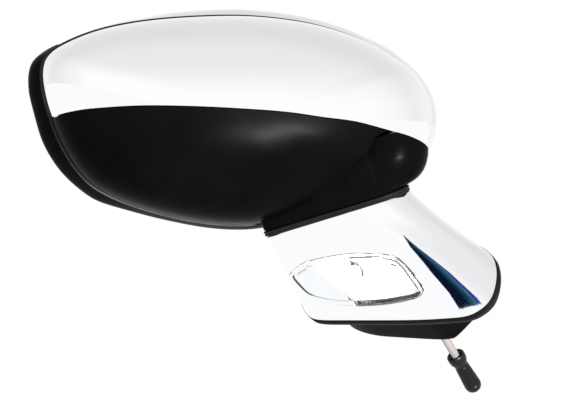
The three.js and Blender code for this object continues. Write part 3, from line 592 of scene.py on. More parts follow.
def brushed_metal(name, colour=(0.55, 0.56, 0.57), roughness=(0.22, 0.42), stretch=(1, 1, 30)):
    material, tree, shader, _ = principled(name)
    mapping = add_node(tree, "Mapping", {"Scale": stretch, "Vector": coordinates(tree)})
    brushing = noise(tree, scale=400, vector=mapping.outputs[0])
    feed(shader, {
        "Metallic": 1.0,
        "Base Color": two_tone(tree, noise(tree, scale=40), tone(colour, 0.82), colour),
        "Roughness": map_range(tree, brushing, *roughness),
        "Normal": bump(tree, brushing, strength=0.12, depth_mm=0.03)})
    return material


def clear_plastic(name):
    material, tree, shader, output = principled(name)
    feed(shader, {
        "Base Color": (0.98, 0.99, 1.0, 1),
        "Transmission Weight": 1.0,
        "IOR": 1.45,
        "Coat Weight": 0.3,
        "Roughness": map_range(tree, noise(tree, scale=600, detail=3), low=0.015, high=0.035),
        "Normal": bump(tree, noise(tree, scale=35, detail=2), strength=0.03, depth_mm=0.05)})
    # light passes straight through for shadows
    in_shadow = add_node(tree, "LightPath").outputs["Is Shadow Ray"]
    through = add_node(tree, "BsdfTransparent")
    feed(output, {0: mix_shader(tree, in_shadow, shader, through)})
    return material


def silvered(name):
    material, tree, shader, _ = principled(name)
    clouds = noise(tree, scale=300, detail=3)
    feed(shader, {
        "Metallic": 0.25,
        "Base Color": two_tone(tree, clouds, (0.93, 0.935, 0.94), (0.97, 0.975, 0.98)),
        "Roughness": map_range(tree, clouds, low=0.12, high=0.24),
        # painted glow: a faint white emission makes the reflector and the bulb glass look lit
        "Emission Color": (1, 1, 1, 1),
        "Emission Strength": 0.25,
        "Normal": bump(tree, noise(tree, scale=60, detail=2), strength=0.05, depth_mm=0.05)})
    return material


def mirror(name):
    material, tree, shader, _ = principled(name)
    feed(shader, {
        "Metallic": 1.0,
        "Base Color": two_tone(tree, noise(tree, scale=12, detail=2),
                               (0.80, 0.83, 0.85), (0.83, 0.86, 0.87)),
        "Roughness": map_range(tree, noise(tree, scale=500, detail=2), low=0.005, high=0.018),
        "Coat Weight": 1.0,
        "Coat Roughness": 0.01})
    return material


LOOKS = dict(
    chrome=chrome("chrome_plating"),
    rim_chrome=chrome("rim_chrome_plating", colour=(0.86, 0.87, 0.88)),
    black=plastic("housing_black"),
    rim=plastic("rim_black", colour=(0.0011, 0.0011, 0.0011), roughness=(0.3, 0.4), grain=1800,
                grain_strength=0.15),
    frame=plastic("frame_plastic", colour=(0.012, 0.012, 0.013), roughness=(0.45, 0.6),
                  grain=1200, grain_strength=0.35, specular=0.3),
    box=plastic("box_black", colour=(0.0016, 0.0014, 0.0014), roughness=(0.32, 0.5), grain=1100,
                grain_strength=0.4, specular=0.012),
    rubber=rubber("black_rubber"),
    seal=rubber("seal_rubber", colour=(0.0016, 0.0016, 0.0016)),
    knob=plastic("knob_black", colour=(0.0024, 0.0024, 0.0024), roughness=(0.3, 0.42),
                 grain=1500, grain_strength=0.3, specular=0.16),
    steel=brushed_metal("zinc_steel"),
    plate=plastic("base_black", colour=(0.003, 0.003, 0.0032), roughness=(0.4, 0.55),
                  grain=1300, grain_strength=0.3),
    rod=plastic("rod_grey", colour=(0.115, 0.105, 0.10), roughness=(0.28, 0.42), grain=1400,
                grain_strength=0.2, specular=0.35),
    clear=clear_plastic("clear_lens"),
    reflector=silvered("reflector_silver_painted_glow"),
    bulb=silvered("bulb_glass_painted_glow"),
    mirror=mirror("silvered_glass"),
    cable=rubber("cable_sheath", colour=(0.006, 0.006, 0.0065)),
    screw=brushed_metal("screw_steel", colour=(0.46, 0.46, 0.47), roughness=(0.25, 0.45),
                        stretch=(30, 30, 1)),
    line=rubber("lamp_seal_rubber", colour=(0.04, 0.04, 0.045)),
    # painted shade in the seam gap between shell and rim
    strip=rubber("seam_gap_painted_shade", colour=(0.018, 0.018, 0.02)),
)


# ---------------------------------------------------------------- head shell
def head_ring(outline, y, depth=0.0):
    """Head outline moved inwards by depth, at y."""
    return on_plane(HEAD, inset(outline, depth), y, "y")


def seam_ratio(points):
    """Distance from the shell's centre as a part of the seam's distance."""
    offset = points - SHELL_CENTRE
    angle = np.arctan2(offset[:, 1], offset[:, 0])
    return (np.hypot(offset[:, 0], offset[:, 1])
            / radius_at(SEAM_OUTLINE, SHELL_CENTRE, angle))


def shell_y(points):
    ratio = np.clip(seam_ratio(points), 0, 1)
    bulge = np.power(np.clip(1 - ratio ** SHELL_POWER, 0, 1), 1 / SHELL_POWER)
    return SEAM_Y - (SHELL_DEPTH - 0.12) * bulge


def shell_panel(name, upper, material, gap=0.35, cols=260, rows=56):
    """Part of the bowl between the split line, moved by the gap, and one arc of the seam."""
    line = SPLIT_LINE + [0, gap if upper else -gap]
    line = line[seam_ratio(line) < 0.9995]
    # the line runs from -x to +x; the arc leads over or under it
    start, end = (np.arctan2(*(p - SHELL_CENTRE)[::-1]) for p in (line[0], line[-1]))
    if upper and start <= 0:
        start += 2 * pi
    elif not upper and start >= 0:
        start -= 2 * pi
    arc = by_angle(SEAM_OUTLINE, SHELL_CENTRE, np.linspace(start, end, 3000))
    arc = even(arc, 3000, closed=False)
    # shared spacing along both curves, closer near the ends
    u = np.linspace(0, 1, cols)
    u = u - 0.10 * np.sin(2 * pi * u) / (2 * pi)

    def pick(curve):
        curve = even(curve, 3000, closed=False)
        return np.stack([np.interp(u, np.linspace(0, 1, 3000), column) for column in curve.T], 1)

    low_edge = pick(line)
    arc_at = np.linspace(0, 1, 3000)
    high_edge = np.stack([np.interp(u, arc_at, column) for column in arc.T], 1)
    steps = 1 - (1 - np.linspace(0, 1, rows)) ** 2.2
    points = np.vstack([low_edge + t * (high_edge - low_edge) for t in steps])
    return make(name, on_plane(HEAD, points, shell_y(points), "y"),
                grid_faces(rows, cols, wrap=False), material)


INSIDE_HEAD = at(HEAD, [8, 15, -1])
cap = shell_panel("chrome_cap", True, LOOKS["chrome"])
thicken(cap, INSIDE_HEAD, SHELL_SKIN, sharp=40)
dress(cap, LOOKS["chrome"], "head", "head_cap", "chrome", sharp=40)

# lower housing: the bowl's lower panel, joined with a pad that comes down to the seal
housing = shell_panel("lower_housing_shell", False, LOOKS["black"])
thicken(housing, INSIDE_HEAD, SHELL_SKIN, sharp=40)

# spread of the pad's wall beyond the teardrop, (z, spread): nearly straight in general,
# and bulging out at the end that faces the joint's +x
PAD_TOP = 34.0
PLAIN_WALL = np.array([
    (0.6, -0.5), (1.0, 0.0), (4, 0.2), (8, 0.8), (12, 1.6), (16, 2.2), (20, 2.2), (24, 1.0),
    (29, -2.5), (PAD_TOP, -9)])
END_WALL = np.array([
    (0.6, 0.0), (1.0, 1.2), (2.0, 5.4), (3.1, 8.2), (4.5, 10.4), (6, 12.2), (9, 14.8),
    (13, 17.2), (18, 19.0), (24, 20.0), (PAD_TOP, 22.0)])
PAD_LEVELS = [0.6, 0.8, 1.0, 1.5, 2.0, 2.5, 3.1, 3.8, 4.5, 5.2, 6, 7, 8, 9, 10.5, 12, 14, 16, 18,
              20, 22, 24, 26.5, 29, 31.5, PAD_TOP]
pad_outline = even(teardrop(0.0), 240)
pad_normals = -inward_normals(pad_outline)
end_weight = np.clip(pad_normals[:, 0], 0, 1) ** 1.3
pad_rings = []
for z in PAD_LEVELS:
    spread = np.interp(z, *PLAIN_WALL.T) * (1 - end_weight) + np.interp(z, *END_WALL.T) * end_weight
    pad_rings.append(on_plane(JOINT, pad_outline + pad_normals * spread[:, None], z))
pad = solid(pad_rings)

# the pad is kept outside the bowl's inner face, on its side of the seam, under the split line
BOWL_WALL = 1.3
bowl_edge = inset(SEAM_OUTLINE[::4], BOWL_WALL)
bowl_rings = [on_plane(HEAD, bowl_edge, 60.0, "y")]
for depth in np.r_[np.linspace(0, 0.9, 30), 0.95, 0.98]:
    ratio = (1 - depth ** SHELL_POWER) ** (1 / SHELL_POWER)
    bowl_rings.append(on_plane(HEAD, scaled(bowl_edge, SHELL_CENTRE, ratio),
                               SEAM_Y - depth * (SHELL_DEPTH - BOWL_WALL), "y"))
boolean(pad, solid(bowl_rings), sharp=None)
boolean(pad, head_box(-200, 250, SEAM_Y, 120, -200, 200), sharp=None)
above_split = np.vstack([SPLIT_LINE[::30] - [0, 0.5], [(200, 150), (-200, 150)]])
boolean(pad, prism(HEAD, above_split, -120, 80, "y"), sharp=None)
boolean(housing, pad, "UNION")
boolean(housing, rod(JOINT, 0, 0, start=-3, end=30, radius=14.6))
housing.name = "lower_housing_visible"
dress(housing, LOOKS["black"], "head", "lower_housing", "black", sharp=40)

# dark strip at the bottom of the gap between shell and rim: painted shade, so the gap reads as a
# dark line
skin("seam_strip",
     [head_ring(SEAM_OUTLINE, SEAM_Y + rise, depth)
      for depth, rise in ((-1.1, 0.1), (2.0, 0.1), (2.0, 0.5), (-1.1, 0.5))],
     LOOKS["strip"], closed=True, body="head", slot="rubber", sharp=40)

# ---------------------------------------------------------------- rims
# section of the band: (part of the way from seam to rim outline, y, inset)
RIM_SECTION = [
    (0.10, SEAM_Y + 0.6, 0), (0.2, 20.6, 0), (0.4, 23.0, 0), (0.58, 25.4, 0), (0.75, 27.9, 0),
    (0.88, 30.4, 0), (0.97, 33.0, 0), (None, 35.2, 0), (None, 36.4, 0.25), (None, 37.4, 0.9),
    (None, 38.1, 1.8), (None, 38.45, 3.0), (None, 38.5, 4.5), (None, 38.3, 6.2),
    (None, 37.7, 7.2), (None, 36.7, 7.6), (None, 35.8, 7.4), (None, 35.7, 5.0),
    (None, 35.5, 2.8), (0.9, 31, 2.6), (0.5, 24.6, 2.5), (0.10, SEAM_Y + 0.6, 2.5)]


def rim_outline(part):
    """None is the rim outline itself."""
    if part is None:
        return RIM_OUTLINE
    return SEAM_OUTLINE + part * (RIM_OUTLINE - SEAM_OUTLINE)


rim_band = [head_ring(rim_outline(part), y, depth) for part, y, depth in RIM_SECTION]
upper_rim = skin("rim_chrome", rim_band, LOOKS["rim_chrome"], closed=True)
boolean(upper_rim, prism(HEAD, CHROME_RIM, -60, 60, "y"), "INTERSECT")
dress(upper_rim, LOOKS["rim_chrome"], "head", "rim_trim_upper", "chrome", sharp=40)
RIM_GAP = 0.35
lower_rim = skin("rim_black_part", rim_band, LOOKS["rim"], closed=True)
boolean(lower_rim, prism(HEAD, [(x, z - RIM_GAP) for x, z in CHROME_RIM], -61, 61, "y"))
dress(lower_rim, LOOKS["rim"], "head", "rim_trim_lower", "black", sharp=40)


# ---------------------------------------------------------------- foot cover
def foot_wall(top=-SEAL_T - 0.3, end=FOOT_H - 0.3, count=240, levels=44):
    """Rings from the teardrop under the seal to the flange."""
    angle = 2 * pi * np.arange(count) / count
    top_flat = to_local(DOOR, on_plane(JOINT, teardrop(0.0), top))[:, :2]
    first = on_plane(DOOR, by_angle(top_flat, centroid(top_flat), angle), 0)
    rise = ((at(JOINT, [0, 0, top])[0] - first) @ FOLD_AXIS) / (DOOR_OUT @ FOLD_AXIS)
    first = first + np.outer(rise, DOOR_OUT)
    flange = by_angle(FLANGE_OUTLINE, FOOT_CENTRE, angle)
    last = on_plane(DOOR, flange, end)
    inward = at(DOOR, [*FOOT_CENTRE, 0]) - on_plane(DOOR, flange, 0)
    inward /= np.linalg.norm(inward, axis=1)[:, None]

    def bell(degrees, width):
        away = (angle - rad(degrees) + pi) % (2 * pi) - pi
        return np.exp(-away ** 2 / (2 * width ** 2))

    # a narrow hollow at 205 degrees and a wide bulge at 0
    push = 7 * bell(205, width=0.16) - 11 * bell(0, width=0.35)
    return [first + t * (last - first) + inward * (sin(pi * t) * push)[:, None]
            for t in np.linspace(0, 1, levels)]


wall = foot_wall()
# the top turns in under the seal to the round opening for the column
top_ring = wall[0]
top_local = to_local(JOINT, top_ring)
top_angle = np.arctan2(top_local[:, 1], top_local[:, 0])
opening = at(JOINT, np.column_stack([COLUMN_HOLE_R * np.cos(top_angle),
                                     COLUMN_HOLE_R * np.sin(top_angle), top_local[:, 2]]))
lip = [opening + t * (top_ring - opening) for t in (0, 0.5, 0.9, 0.97)]
wall[0] = wall[0] + (wall[1] - wall[0]) * 0.28
foot = skin("chrome_foot_cover", lip + wall, LOOKS["chrome"])
INSIDE_FOOT = at(DOOR, [*FOOT_CENTRE, 30])
face_outward(foot, INSIDE_FOOT)
FOOT_SURFACE = BVHTree.FromPolygons([Vector(v.co) for v in foot.data.vertices],
                                    [tuple(p.vertices) for p in foot.data.polygons])
thicken(foot, INSIDE_FOOT, 2.4, sharp=50)
boolean(foot, prism(VIEW, LENS_OUTLINE, -90, 12, "y"), sharp=50)
dress(foot, LOOKS["chrome"], "foot", "foot_cover", "chrome", sharp=50)

# ---------------------------------------------------------------- side lamp
LAMP_IN = unit([0.458, 0.786, 0.416])  # into the foot
LAMP = frame_along(LAMP_IN, np.array([-19.5, 5.3, -51.6]))


def on_foot(outline):
    """Points on the cover's outer surface behind view positions (x, z).

    Where nothing is hit, y comes from a quadratic fitted to the other points.
    """
    away = Vector(VIEW_TO_PART @ np.array([0.0, 1.0, 0.0]))
    points = []
    for x, z in outline:
        hit = FOOT_SURFACE.ray_cast(Vector(to_part([x, -150, z])[0]), away)[0]
        points.append([x, np.nan, z] if hit is None else to_view(hit)[0])
    points = np.array(points, float)

    def terms(p):
        x, z = p[:, 0], p[:, 2]
        return np.column_stack([np.ones(len(p)), x, z, x ** 2, z ** 2, x * z])

    missed = np.isnan(points[:, 1])
    if missed.any():
        found = points[~missed]
        fit = np.linalg.lstsq(terms(found), found[:, 1], rcond=None)[0]
        points[missed, 1] = terms(points[missed]) @ fit
    return points


def raised(outline, height):
    """Outline on the cover, raised out of it; negative heights lie inside."""
    return on_foot(outline) - np.outer(height, LAMP_IN)


def edge_distance(points):
    return np.min(np.linalg.norm(points[:, None, :] - LENS_OUTLINE[None, :, :], axis=2), axis=1)


# height of the lens over the cover, (distance from its edge, height):
# rolled edge, bezel land, groove, dome
LENS_OUTSIDE = np.array([
    (0, -1.6), (0.25, -0.3), (0.6, 0.45), (1.1, 0.85), (2.0, 0.95), (2.7, 0.9), (3.1, 0.45),
    (3.5, 0.15), (3.9, 0.3), (4.6, 0.75), (6.0, 1.05), (9, 1.3), (14, 1.5), (25, 1.55)])
LENS_INSIDE = np.array([(0, -3.4), (1, -2.2), (3, -2.0), (4, -1.4), (25, -0.9)])
LENS_RATIOS = np.r_[1.0, 0.995, 0.985, 0.97, 0.95, 0.925, 0.9, 0.87, 0.84,
                    np.linspace(0.8, 0.06, 22)]


def lens_rings(ratios, profile):
    base = inset(LENS_OUTLINE, 0.5)
    outlines = [scaled(base, LENS_CENTRE, ratio) for ratio in ratios]
    return [raised(o, np.interp(edge_distance(o), *profile.T)) for o in outlines]


def lens():
    outer = lens_rings(LENS_RATIOS, LENS_OUTSIDE)
    inner = lens_rings(LENS_RATIOS[::-1], LENS_INSIDE)
    rows, cols = len(outer), len(LENS_OUTLINE)
    inner_first = rows * cols
    outer_last, inner_last = inner_first - cols, 2 * inner_first - cols
    faces = grid_faces(rows, cols) + grid_faces(rows, cols, base=inner_first)
    faces += [tuple(range(first, first + cols)) for first in (outer_last, inner_first)]
    faces += [(c, (c + 1) % cols, inner_last + (c + 1) % cols, inner_last + c)
              for c in range(cols)]
    make("side_lamp_lens", np.vstack(outer + inner), faces, LOOKS["clear"], body="foot",
         replaces="lamp_lens", slot="clear", sharp=60)


def tray_ring(outline, cup_radius=10.0, cup_depth=7.0, floor=-6.6, flute_pitch=3.6,
              flute_height=1.25):
    """Ring of the reflector: a shallow tray, flutes towards +x, a cup round the bulb."""
    surface = on_foot(outline)
    local = to_local(LAMP, surface)
    radius, distance = np.hypot(local[:, 0], local[:, 1]), edge_distance(outline)
    tray = np.interp(distance, [2.6, 3.2, 5.5, 7, 30], [-2.9, -3.4, -5.6, -6.2, floor])
    cup = floor - cup_depth * np.sqrt(np.clip(1 - (radius / cup_radius) ** 2, 0, 1))
    flute = (flute_height * np.interp((local[:, 1] / flute_pitch) % 1, [0, 0.72, 1.0], [0, 1, 0])
             * np.interp(outline[:, 0], [-8, -2], [0, 1]))
    fluted = np.interp(distance, [4.5, 6.5], [0, 1]) * (radius > cup_radius + 0.2)
    height = np.where(radius < cup_radius, cup, tray + flute * fluted)
    return surface - np.outer(height, LAMP_IN)


def reflector():
    edge = inset(LENS_OUTLINE, 2.6)
    ratios = np.r_[1.0, 0.985, 0.96, np.linspace(0.93, 0.05, 60)]
    tray = skin("lamp_reflector_tray", [tray_ring(scaled(edge, LENS_CENTRE, r)) for r in ratios],
                LOOKS["reflector"], cap_last=True)
    thicken(tray, at(LAMP, [0, 0, 40]), 0.9, sharp=20)
    boolean(tray, rod(LAMP, 0, 0, start=5, end=40, radius=5.0, count=48), sharp=20)
    dress(tray, LOOKS["reflector"], "foot", "lamp_reflector", "reflector", sharp=20)


lens()
reflector()

BULB_R, BULB_Z = 4.8, 8.0
bulb_dome = [(BULB_R * cos(a), BULB_Z + BULB_R * sin(a))
             for a in np.radians(np.linspace(-88, 10, 16))]
lathe("lamp_bulb_glass", LAMP,
      [(0, 3.2)] + bulb_dome + [(4.5, 10.4), (3.9, 11.8), (3.4, 12.8), (3.4, 18.4), (0, 18.4)],
      LOOKS["bulb"], body="foot", replaces="lamp_bulb", slot="bulb", sharp=50)
lathe("bulb_holder", LAMP,
      [(0, 19), (3.7, 19), (3.7, 13.1), (3.9, 12.9), (4.5, 12.9), (4.7, 13.1), (4.7, 14.3),
       (7.6, 14.3), (8, 14.7), (8, 15.9), (7.6, 16.3), (6.6, 16.3), (6.4, 16.6), (6.4, 23.5),
       (5.9, 24), (0, 24)],
      LOOKS["frame"], body="foot", replaces="bulb_socket", slot="frame", sharp=40)


def lamp_line(name, outer, inner, top, bottom):
    """Thin rubber ring between two insets of the lens and two heights."""
    corners = ((outer, top), (inner, top), (inner, bottom), (outer, bottom))
    skin(name, [raised(inset(LENS_OUTLINE, depth), height) for depth, height in corners],
         LOOKS["line"], closed=True, body="foot", slot="rubber", sharp=40)


lamp_line("lamp_edge_seal", outer=0.04, inner=0.44, top=-0.15, bottom=-1.5)
lamp_line("lamp_bezel_line", outer=2.9, inner=3.35, top=-2.3, bottom=-2.7)

# ---------------------------------------------------------------- joint seal
SEAL_ANGLES = np.linspace(0, 2 * pi, 260, endpoint=False)
SEAL_CENTRE = np.array([-14.0, 2.0])
# outer side with two ribs: (growth of the teardrop, z)
SEAL_SIDE = [(-0.3, -SEAL_T), (0.3, -2.85), (0.55, -2.4), (0.1, -1.6), (0.1, -1.35),
             (0.6, -0.7), (0.55, -0.25), (0.1, 0.0)]


def seal_outline(growth):
    return by_angle(teardrop(growth), SEAL_CENTRE, SEAL_ANGLES)


plain = seal_outline(0.0)
hole_angle = np.arctan2(plain[:, 1], plain[:, 0])
hole = np.column_stack([COLUMN_HOLE_R * np.cos(hole_angle), COLUMN_HOLE_R * np.sin(hole_angle)])
skin("joint_seal_ring",
     [on_plane(JOINT, seal_outline(growth), z) for growth, z in SEAL_SIDE]
     + [on_plane(JOINT, hole, z) for z in (0.0, -SEAL_T)],
     LOOKS["seal"], closed=True, body="foot", replaces="joint_seal", slot="rubber", sharp=50)

# ---------------------------------------------------------------- gasket and base plate
RING_COUNT = 300
RING_ANGLES = np.linspace(0, 2 * pi, RING_COUNT, endpoint=False)


def door_ring(outline, z, depth=0.0, centre=FOOT_CENTRE):
    return on_plane(DOOR, by_angle(inset(outline, depth), centre, RING_ANGLES), z)


# outer side: (z above the gasket's start, inset from the flange)
GASKET_SIDE = [(0, 0.5), (0.25, 0.15), (0.6, -0.1), (1.9, -0.1), (2.4, 0.2), (GASKET_T, 0.7)]
gasket = skin("door_gasket_ring",
              [door_ring(FLANGE_OUTLINE, GASKET_Z + z, depth) for z, depth in GASKET_SIDE]
              + [door_ring(BOX_OUTLINE, GASKET_Z + z, -0.7) for z in (GASKET_T, 0)],
              LOOKS["rubber"], closed=True)
for x, y in STUDS:
    boolean(gasket, rod(DOOR, x, y, start=40, end=60, radius=3.6, count=48))
dress(gasket, LOOKS["rubber"], "foot", "door_gasket", "rubber", sharp=40)

# plate with the column that rises from it along the fold axis, bored in two widths
PLATE_SIDE = [(0, -0.1), (0.3, -0.34), (2.3, -0.34), (PLATE_T, -0.1)]
plate = solid([door_ring(FLANGE_OUTLINE, FOOT_H + z, depth) for z, depth in PLATE_SIDE],
              "base_plate")
column = rod(JOINT, 0, 0, start=-80, end=0, radius=13.8, count=96)
boolean(column, prism(DOOR, inset(FLANGE_OUTLINE[::6], -20), -30, FOOT_H + 1), "INTERSECT")
boolean(plate, column, "UNION")
boolean(plate, rod(JOINT, 0, 0, start=-100, end=-14.2, radius=8.8))
boolean(plate, rod(JOINT, 0, 0, start=-30, end=5, radius=6.3))
boolean(plate, rod(DOOR, 25, -20, start=40, end=55, radius=3.0, count=40))
dress(plate, LOOKS["plate"], "foot", "base_frame", "alloy", sharp=40)


# ---------------------------------------------------------------- studs and nuts
def stud_profile():
    """Thread and tip as (radius, z)."""
    z = FOOT_H + PLATE_T + 1.2
    profile = [(3.0, FOOT_H + PLATE_T - 0.4), (3.0, z)]
    while z < 67.2:
        profile += [(2.98, z + 0.12), (2.55, z + 0.5), (2.55, z + 0.62)]
        z += 1.0
        profile.append((2.98, z))
    return profile + [(2.4, 67.6), (2.0, 67.9)]


for number, (x, y) in enumerate(STUDS, 1):
    skin(f"threaded_stud_{number}",
         [circle(DOOR, x, y, z, radius, 32) for radius, z in stud_profile()],
         LOOKS["steel"], cap_first=True, cap_last=True, body="foot", slot="steel", sharp=50)


def hexagon(x, y, z, radius=5.77, count=48):
    angle = np.linspace(0, 2 * pi, count, endpoint=False)
    reach = radius * cos(pi / 6) / np.cos((angle % (pi / 3)) - pi / 6)
    outline = np.column_stack([x + reach * np.cos(angle), y + reach * np.sin(angle)])
    return on_plane(DOOR, outline, z)


for number, (x, y) in enumerate(STUDS, 1):
    flange = [circle(DOOR, x, y, 54, radius, 48) for radius in (3.8, 5.6)]
    sides = [hexagon(x, y, z) for z in (54.5, 58.4)]
    top_and_bore = [circle(DOOR, x, y, z, radius, 48)
                    for z, radius in ((59, 5.2), (59, 3.6), (58.5, 3.15), (54.5, 3.15))]
    skin(f"hex_nut_{number}", flange + sides + top_and_bore, LOOKS["screw"], closed=True,
         body="foot", replaces=f"mount_nut_{number}", slot="steel", sharp=35)


# ---------------------------------------------------------------- base box
def box_ring(z, depth=0.0):
    return door_ring(BOX_OUTLINE, z, depth, STICK_HOLE)


def hole_ring(z, radius):
    return circle(DOOR, *STICK_HOLE, z, radius, RING_COUNT)


def end_ring(z, radius, depth, t):
    """Ring of the end face, a part t of the way from the hole to the edge."""
    hole, edge = hole_ring(z, radius), box_ring(z, depth)
    return hole + t * (edge - hole)


CORNER = 3.2   # rounding of the outer corner
BOX_WALL = 2.2
box_rings = [box_ring(GASKET_Z), box_ring(GASKET_Z + 1.0)]
box_rings += [box_ring(z) for z in np.linspace(GASKET_Z + 3, BOX_END - 4.2, 12)]
box_rings += [box_ring(BOX_END - CORNER + CORNER * sin(a), CORNER * (1 - cos(a)))
              for a in np.linspace(0.1, pi / 2, 9)]
box_rings += [end_ring(BOX_END, 9.0, 3.4, t) for t in (0.85, 0.6, 0.35, 0.12)]
box_rings += [hole_ring(BOX_END - drop, radius)
              for drop, radius in ((0, 8.4), (0.3, 7.7), (0.8, 7.3), (2.2, 7.3))]
box_rings += [end_ring(BOX_END - 2.3, 7.8, 4.4, t) for t in (0.0, 0.35, 0.7, 1.0)]
box_rings += [box_ring(z, depth) for z, depth in (
    (BOX_END - 2.9, 3.2), (BOX_END - 4.2, 2.3), (BOX_END - 8, BOX_WALL),
    (GASKET_Z + 8, BOX_WALL), (GASKET_Z, BOX_WALL))]
skin("base_box_shell", box_rings, LOOKS["box"], closed=True, body="foot", replaces="base_box",
     slot="black", sharp=45)

# ears that carry the stick's cross: door frame, (y, z)
EAR = [(-44, 64.5), (-36, 64.5), (-35.4, 65.2), (-35.4, 72), (-36.2, 77.6), (-43.8, 77.6),
       (-44.6, 72), (-44.6, 65.2)]
for side, name in ((-1, "stick_ear_front"), (1, "stick_ear_rear")):
    start = STICK_PIVOT[0] + side * 10.6 - 1.6
    ear = prism(DOOR, EAR, start, start + 3.2, "x", name)
    boolean(ear, prism(DOOR, disc(*STICK_PIVOT[1:], 1.75, 40), start - 2, start + 6, "x"))
    dress(ear, LOOKS["box"], "foot", slot="black", sharp=40)

# ---------------------------------------------------------------- stick
lathe("stick_rod", LEVER,
      [(0, 8.8), (2.2, 8.8), (2.5, 9.1), (2.5, 20), (2.5, 33), (2.5, 48.6), (2.2, 49), (0, 49)],
      LOOKS["rod"], count=48, body="lever", replaces="lever_rod", slot="grey", sharp=40)


def knob_profile(shift=2.8, slimming=0.925):
    """Bore, flared foot, ribbed grip and domed end as (radius, z)."""
    bore = [(0, 46.3), (2.75, 46.2), (2.75, 34.4)]
    outside = [(3.1, 34.0), (4.4, 33.2), (5.3, 32.5), (5.75, 32.55), (6.1, 33.2), (6.15, 34.4),
               (6.05, 36.6), (5.7, 38.0), (5.0, 39.4), (4.6, 40.6), (4.55, 41.6)]
    z = 42.0
    while z < 56.5:
        radius = 4.75 + (z - 42) * 0.062
        outside += [(radius, z), (radius + 0.06, z + 0.5), (radius, z + 1.0),
                    (radius - 0.22, z + 1.15), (radius - 0.22, z + 1.45)]
        z += 1.7
    outside += [(5.68, 57.4), (5.55, 58.6), (5.15, 59.9), (4.4, 61.0), (3.3, 61.9), (1.9, 62.3),
                (0, 62.4)]
    slim = [(radius * slimming, z) for radius, z in outside]
    return [(radius, z + shift) for radius, z in bore + slim]


lathe("stick_knob", LEVER, knob_profile(), LOOKS["knob"], count=72, body="lever",
      replaces="lever_knob", slot="rubber", sharp=40)

# ---------------------------------------------------------------- glass and its holder
glass_outline = smooth_closed(inset(RIM_OUTLINE, 13), 420)
glass_centre = centroid(glass_outline)
holder_outline = smooth_closed(inset(RIM_OUTLINE, 14.5), 420)
GLASS_Y = 30.0  # mirror face
# edge of the glass and of the holder: (y, inset)
GLASS_EDGE = [(27.4, 0.35), (27.7, 0.05), (29.6, 0.0), (29.85, 0.12), (GLASS_Y, 0.45),
              (GLASS_Y, 2.0)]
HOLDER_EDGE = [(24.0, 0.8), (24.3, 0.3), (24.8, 0.0), (26.6, 0.0), (27.0, 0.4)]
skin("mirror_glass_plate",
     [head_ring(glass_outline, y, depth) for y, depth in GLASS_EDGE]
     + [on_plane(HEAD, scaled(glass_outline, glass_centre, ratio), GLASS_Y, "y")
        for ratio in (0.9, 0.7, 0.45, 0.2)],
     LOOKS["mirror"], cap_first=True, cap_last=True, body="glass", replaces="mirror_glass",
     slot="mirror", sharp=25)

holder = solid([head_ring(holder_outline, y, depth) for y, depth in HOLDER_EDGE],
               "glass_backing")
for side in (-1, 1):
    middle = SHELL_CENTRE[0] + side * 8.25
    ear = head_box(middle - 1.75, middle + 1.75, 14, 24.5, -5, 3)
    boolean(ear, prism(HEAD, disc(18, SHELL_CENTRE[1], 2.35, 40), -20, 40, "x"))
    boolean(holder, ear, "UNION")
# stiffening ribs on the holder's hidden face
for x0, x1 in ((-80, -6), (22, 84)):
    boolean(holder, head_box(x0, x1, 21.8, 24.4, -1.6, -0.4), "UNION")
dress(holder, LOOKS["frame"], "glass", "glass_holder", "frame", sharp=40)

# ---------------------------------------------------------------- CAD pieces kept as they are
SOFTENED = ("head_frame", "lever_hub", "sheath_bridge", "lamp_connector", "glass_cross",
            "lever_cross")
KEPT = {
    "frame": ["head_frame", "sheath_bridge", "lamp_connector", "lever_hub", "fold_washer"],
    "steel": ["pivot_tube", "spring_seat", "fold_spring", "glass_cross", "lever_cross"]
    + [f"{body}_pull_wire_{i}" for i in (1, 2, 3) for body in ("glass", "lever")],
    "cable": ["lamp_lead"] + [f"sheath_{end}_{i}" for i in (1, 2, 3) for end in ("foot", "head")],
    "screw": [f"head_screw_{i}" for i in (1, 2, 3, 4)],
}
for look, names in KEPT.items():
    for name in names:
        piece = CAD_NODES[name]
        if piece.hide_render:
            continue
        dress(piece, LOOKS[look], sharp=32)
        if name in SOFTENED:
            modifier = piece.modifiers.new("soft_edges", "BEVEL")
            modifier.width = 0.0003
            modifier.segments = 2
            modifier.limit_method = "ANGLE"
            modifier.angle_limit = rad(45)
            modifier.use_clamp_overlap = True

# ---------------------------------------------------------------- floor
# the view's y and x in the part's frame
AWAY = np.array([sqrt(.5), sqrt(.5), 0])
RIGHT = np.array([sqrt(.5), -sqrt(.5), 0])


def stage_mesh(name, points, faces, material):
    mesh = bpy.data.meshes.new(name)
    mesh.from_pydata([tuple(p) for p in points], [], faces)
    mesh.shade_smooth()
    piece = bpy.data.objects.new(name, mesh)
    bpy.context.scene.collection.objects.link(piece)
    mesh.materials.append(material)
    return piece


def paper():
    """Nearly self-lit white; from underneath the floor lets the view through."""
    material, tree, shader, output = principled("studio_paper")
    feed(shader, {
        "Roughness": 0.9,
        "Specular IOR Level": 0.1,
        "Base Color": two_tone(tree, noise(tree, scale=3, detail=2),
                               (0.80, 0.80, 0.80), (0.82, 0.82, 0.82))})
    camera_ray = add_node(tree, "LightPath").outputs["Is Camera Ray"]
    glow = add_node(tree, "Emission", {
        "Strength": map_range(tree, camera_ray, low=1.04, high=1.0, start=0, end=1)})
    lit = add_node(tree, "MixShader", {0: 0.985, 1: shader.outputs[0], 2: glow.outputs[0]})
    underneath = add_node(tree, "NewGeometry").outputs["Backfacing"]
    feed(output, {0: mix_shader(tree, underneath, lit, add_node(tree, "BsdfTransparent"))})
    return material


floor_z = CAD_BOX[0][2] - 0.20
stage_mesh("studio_floor", [AWAY * a + RIGHT * b + np.array([0, 0, floor_z])
                            for a, b in ((-6, -6), (-6, 6), (6, 6), (6, -6))],
           [(0, 1, 2, 3)], paper())


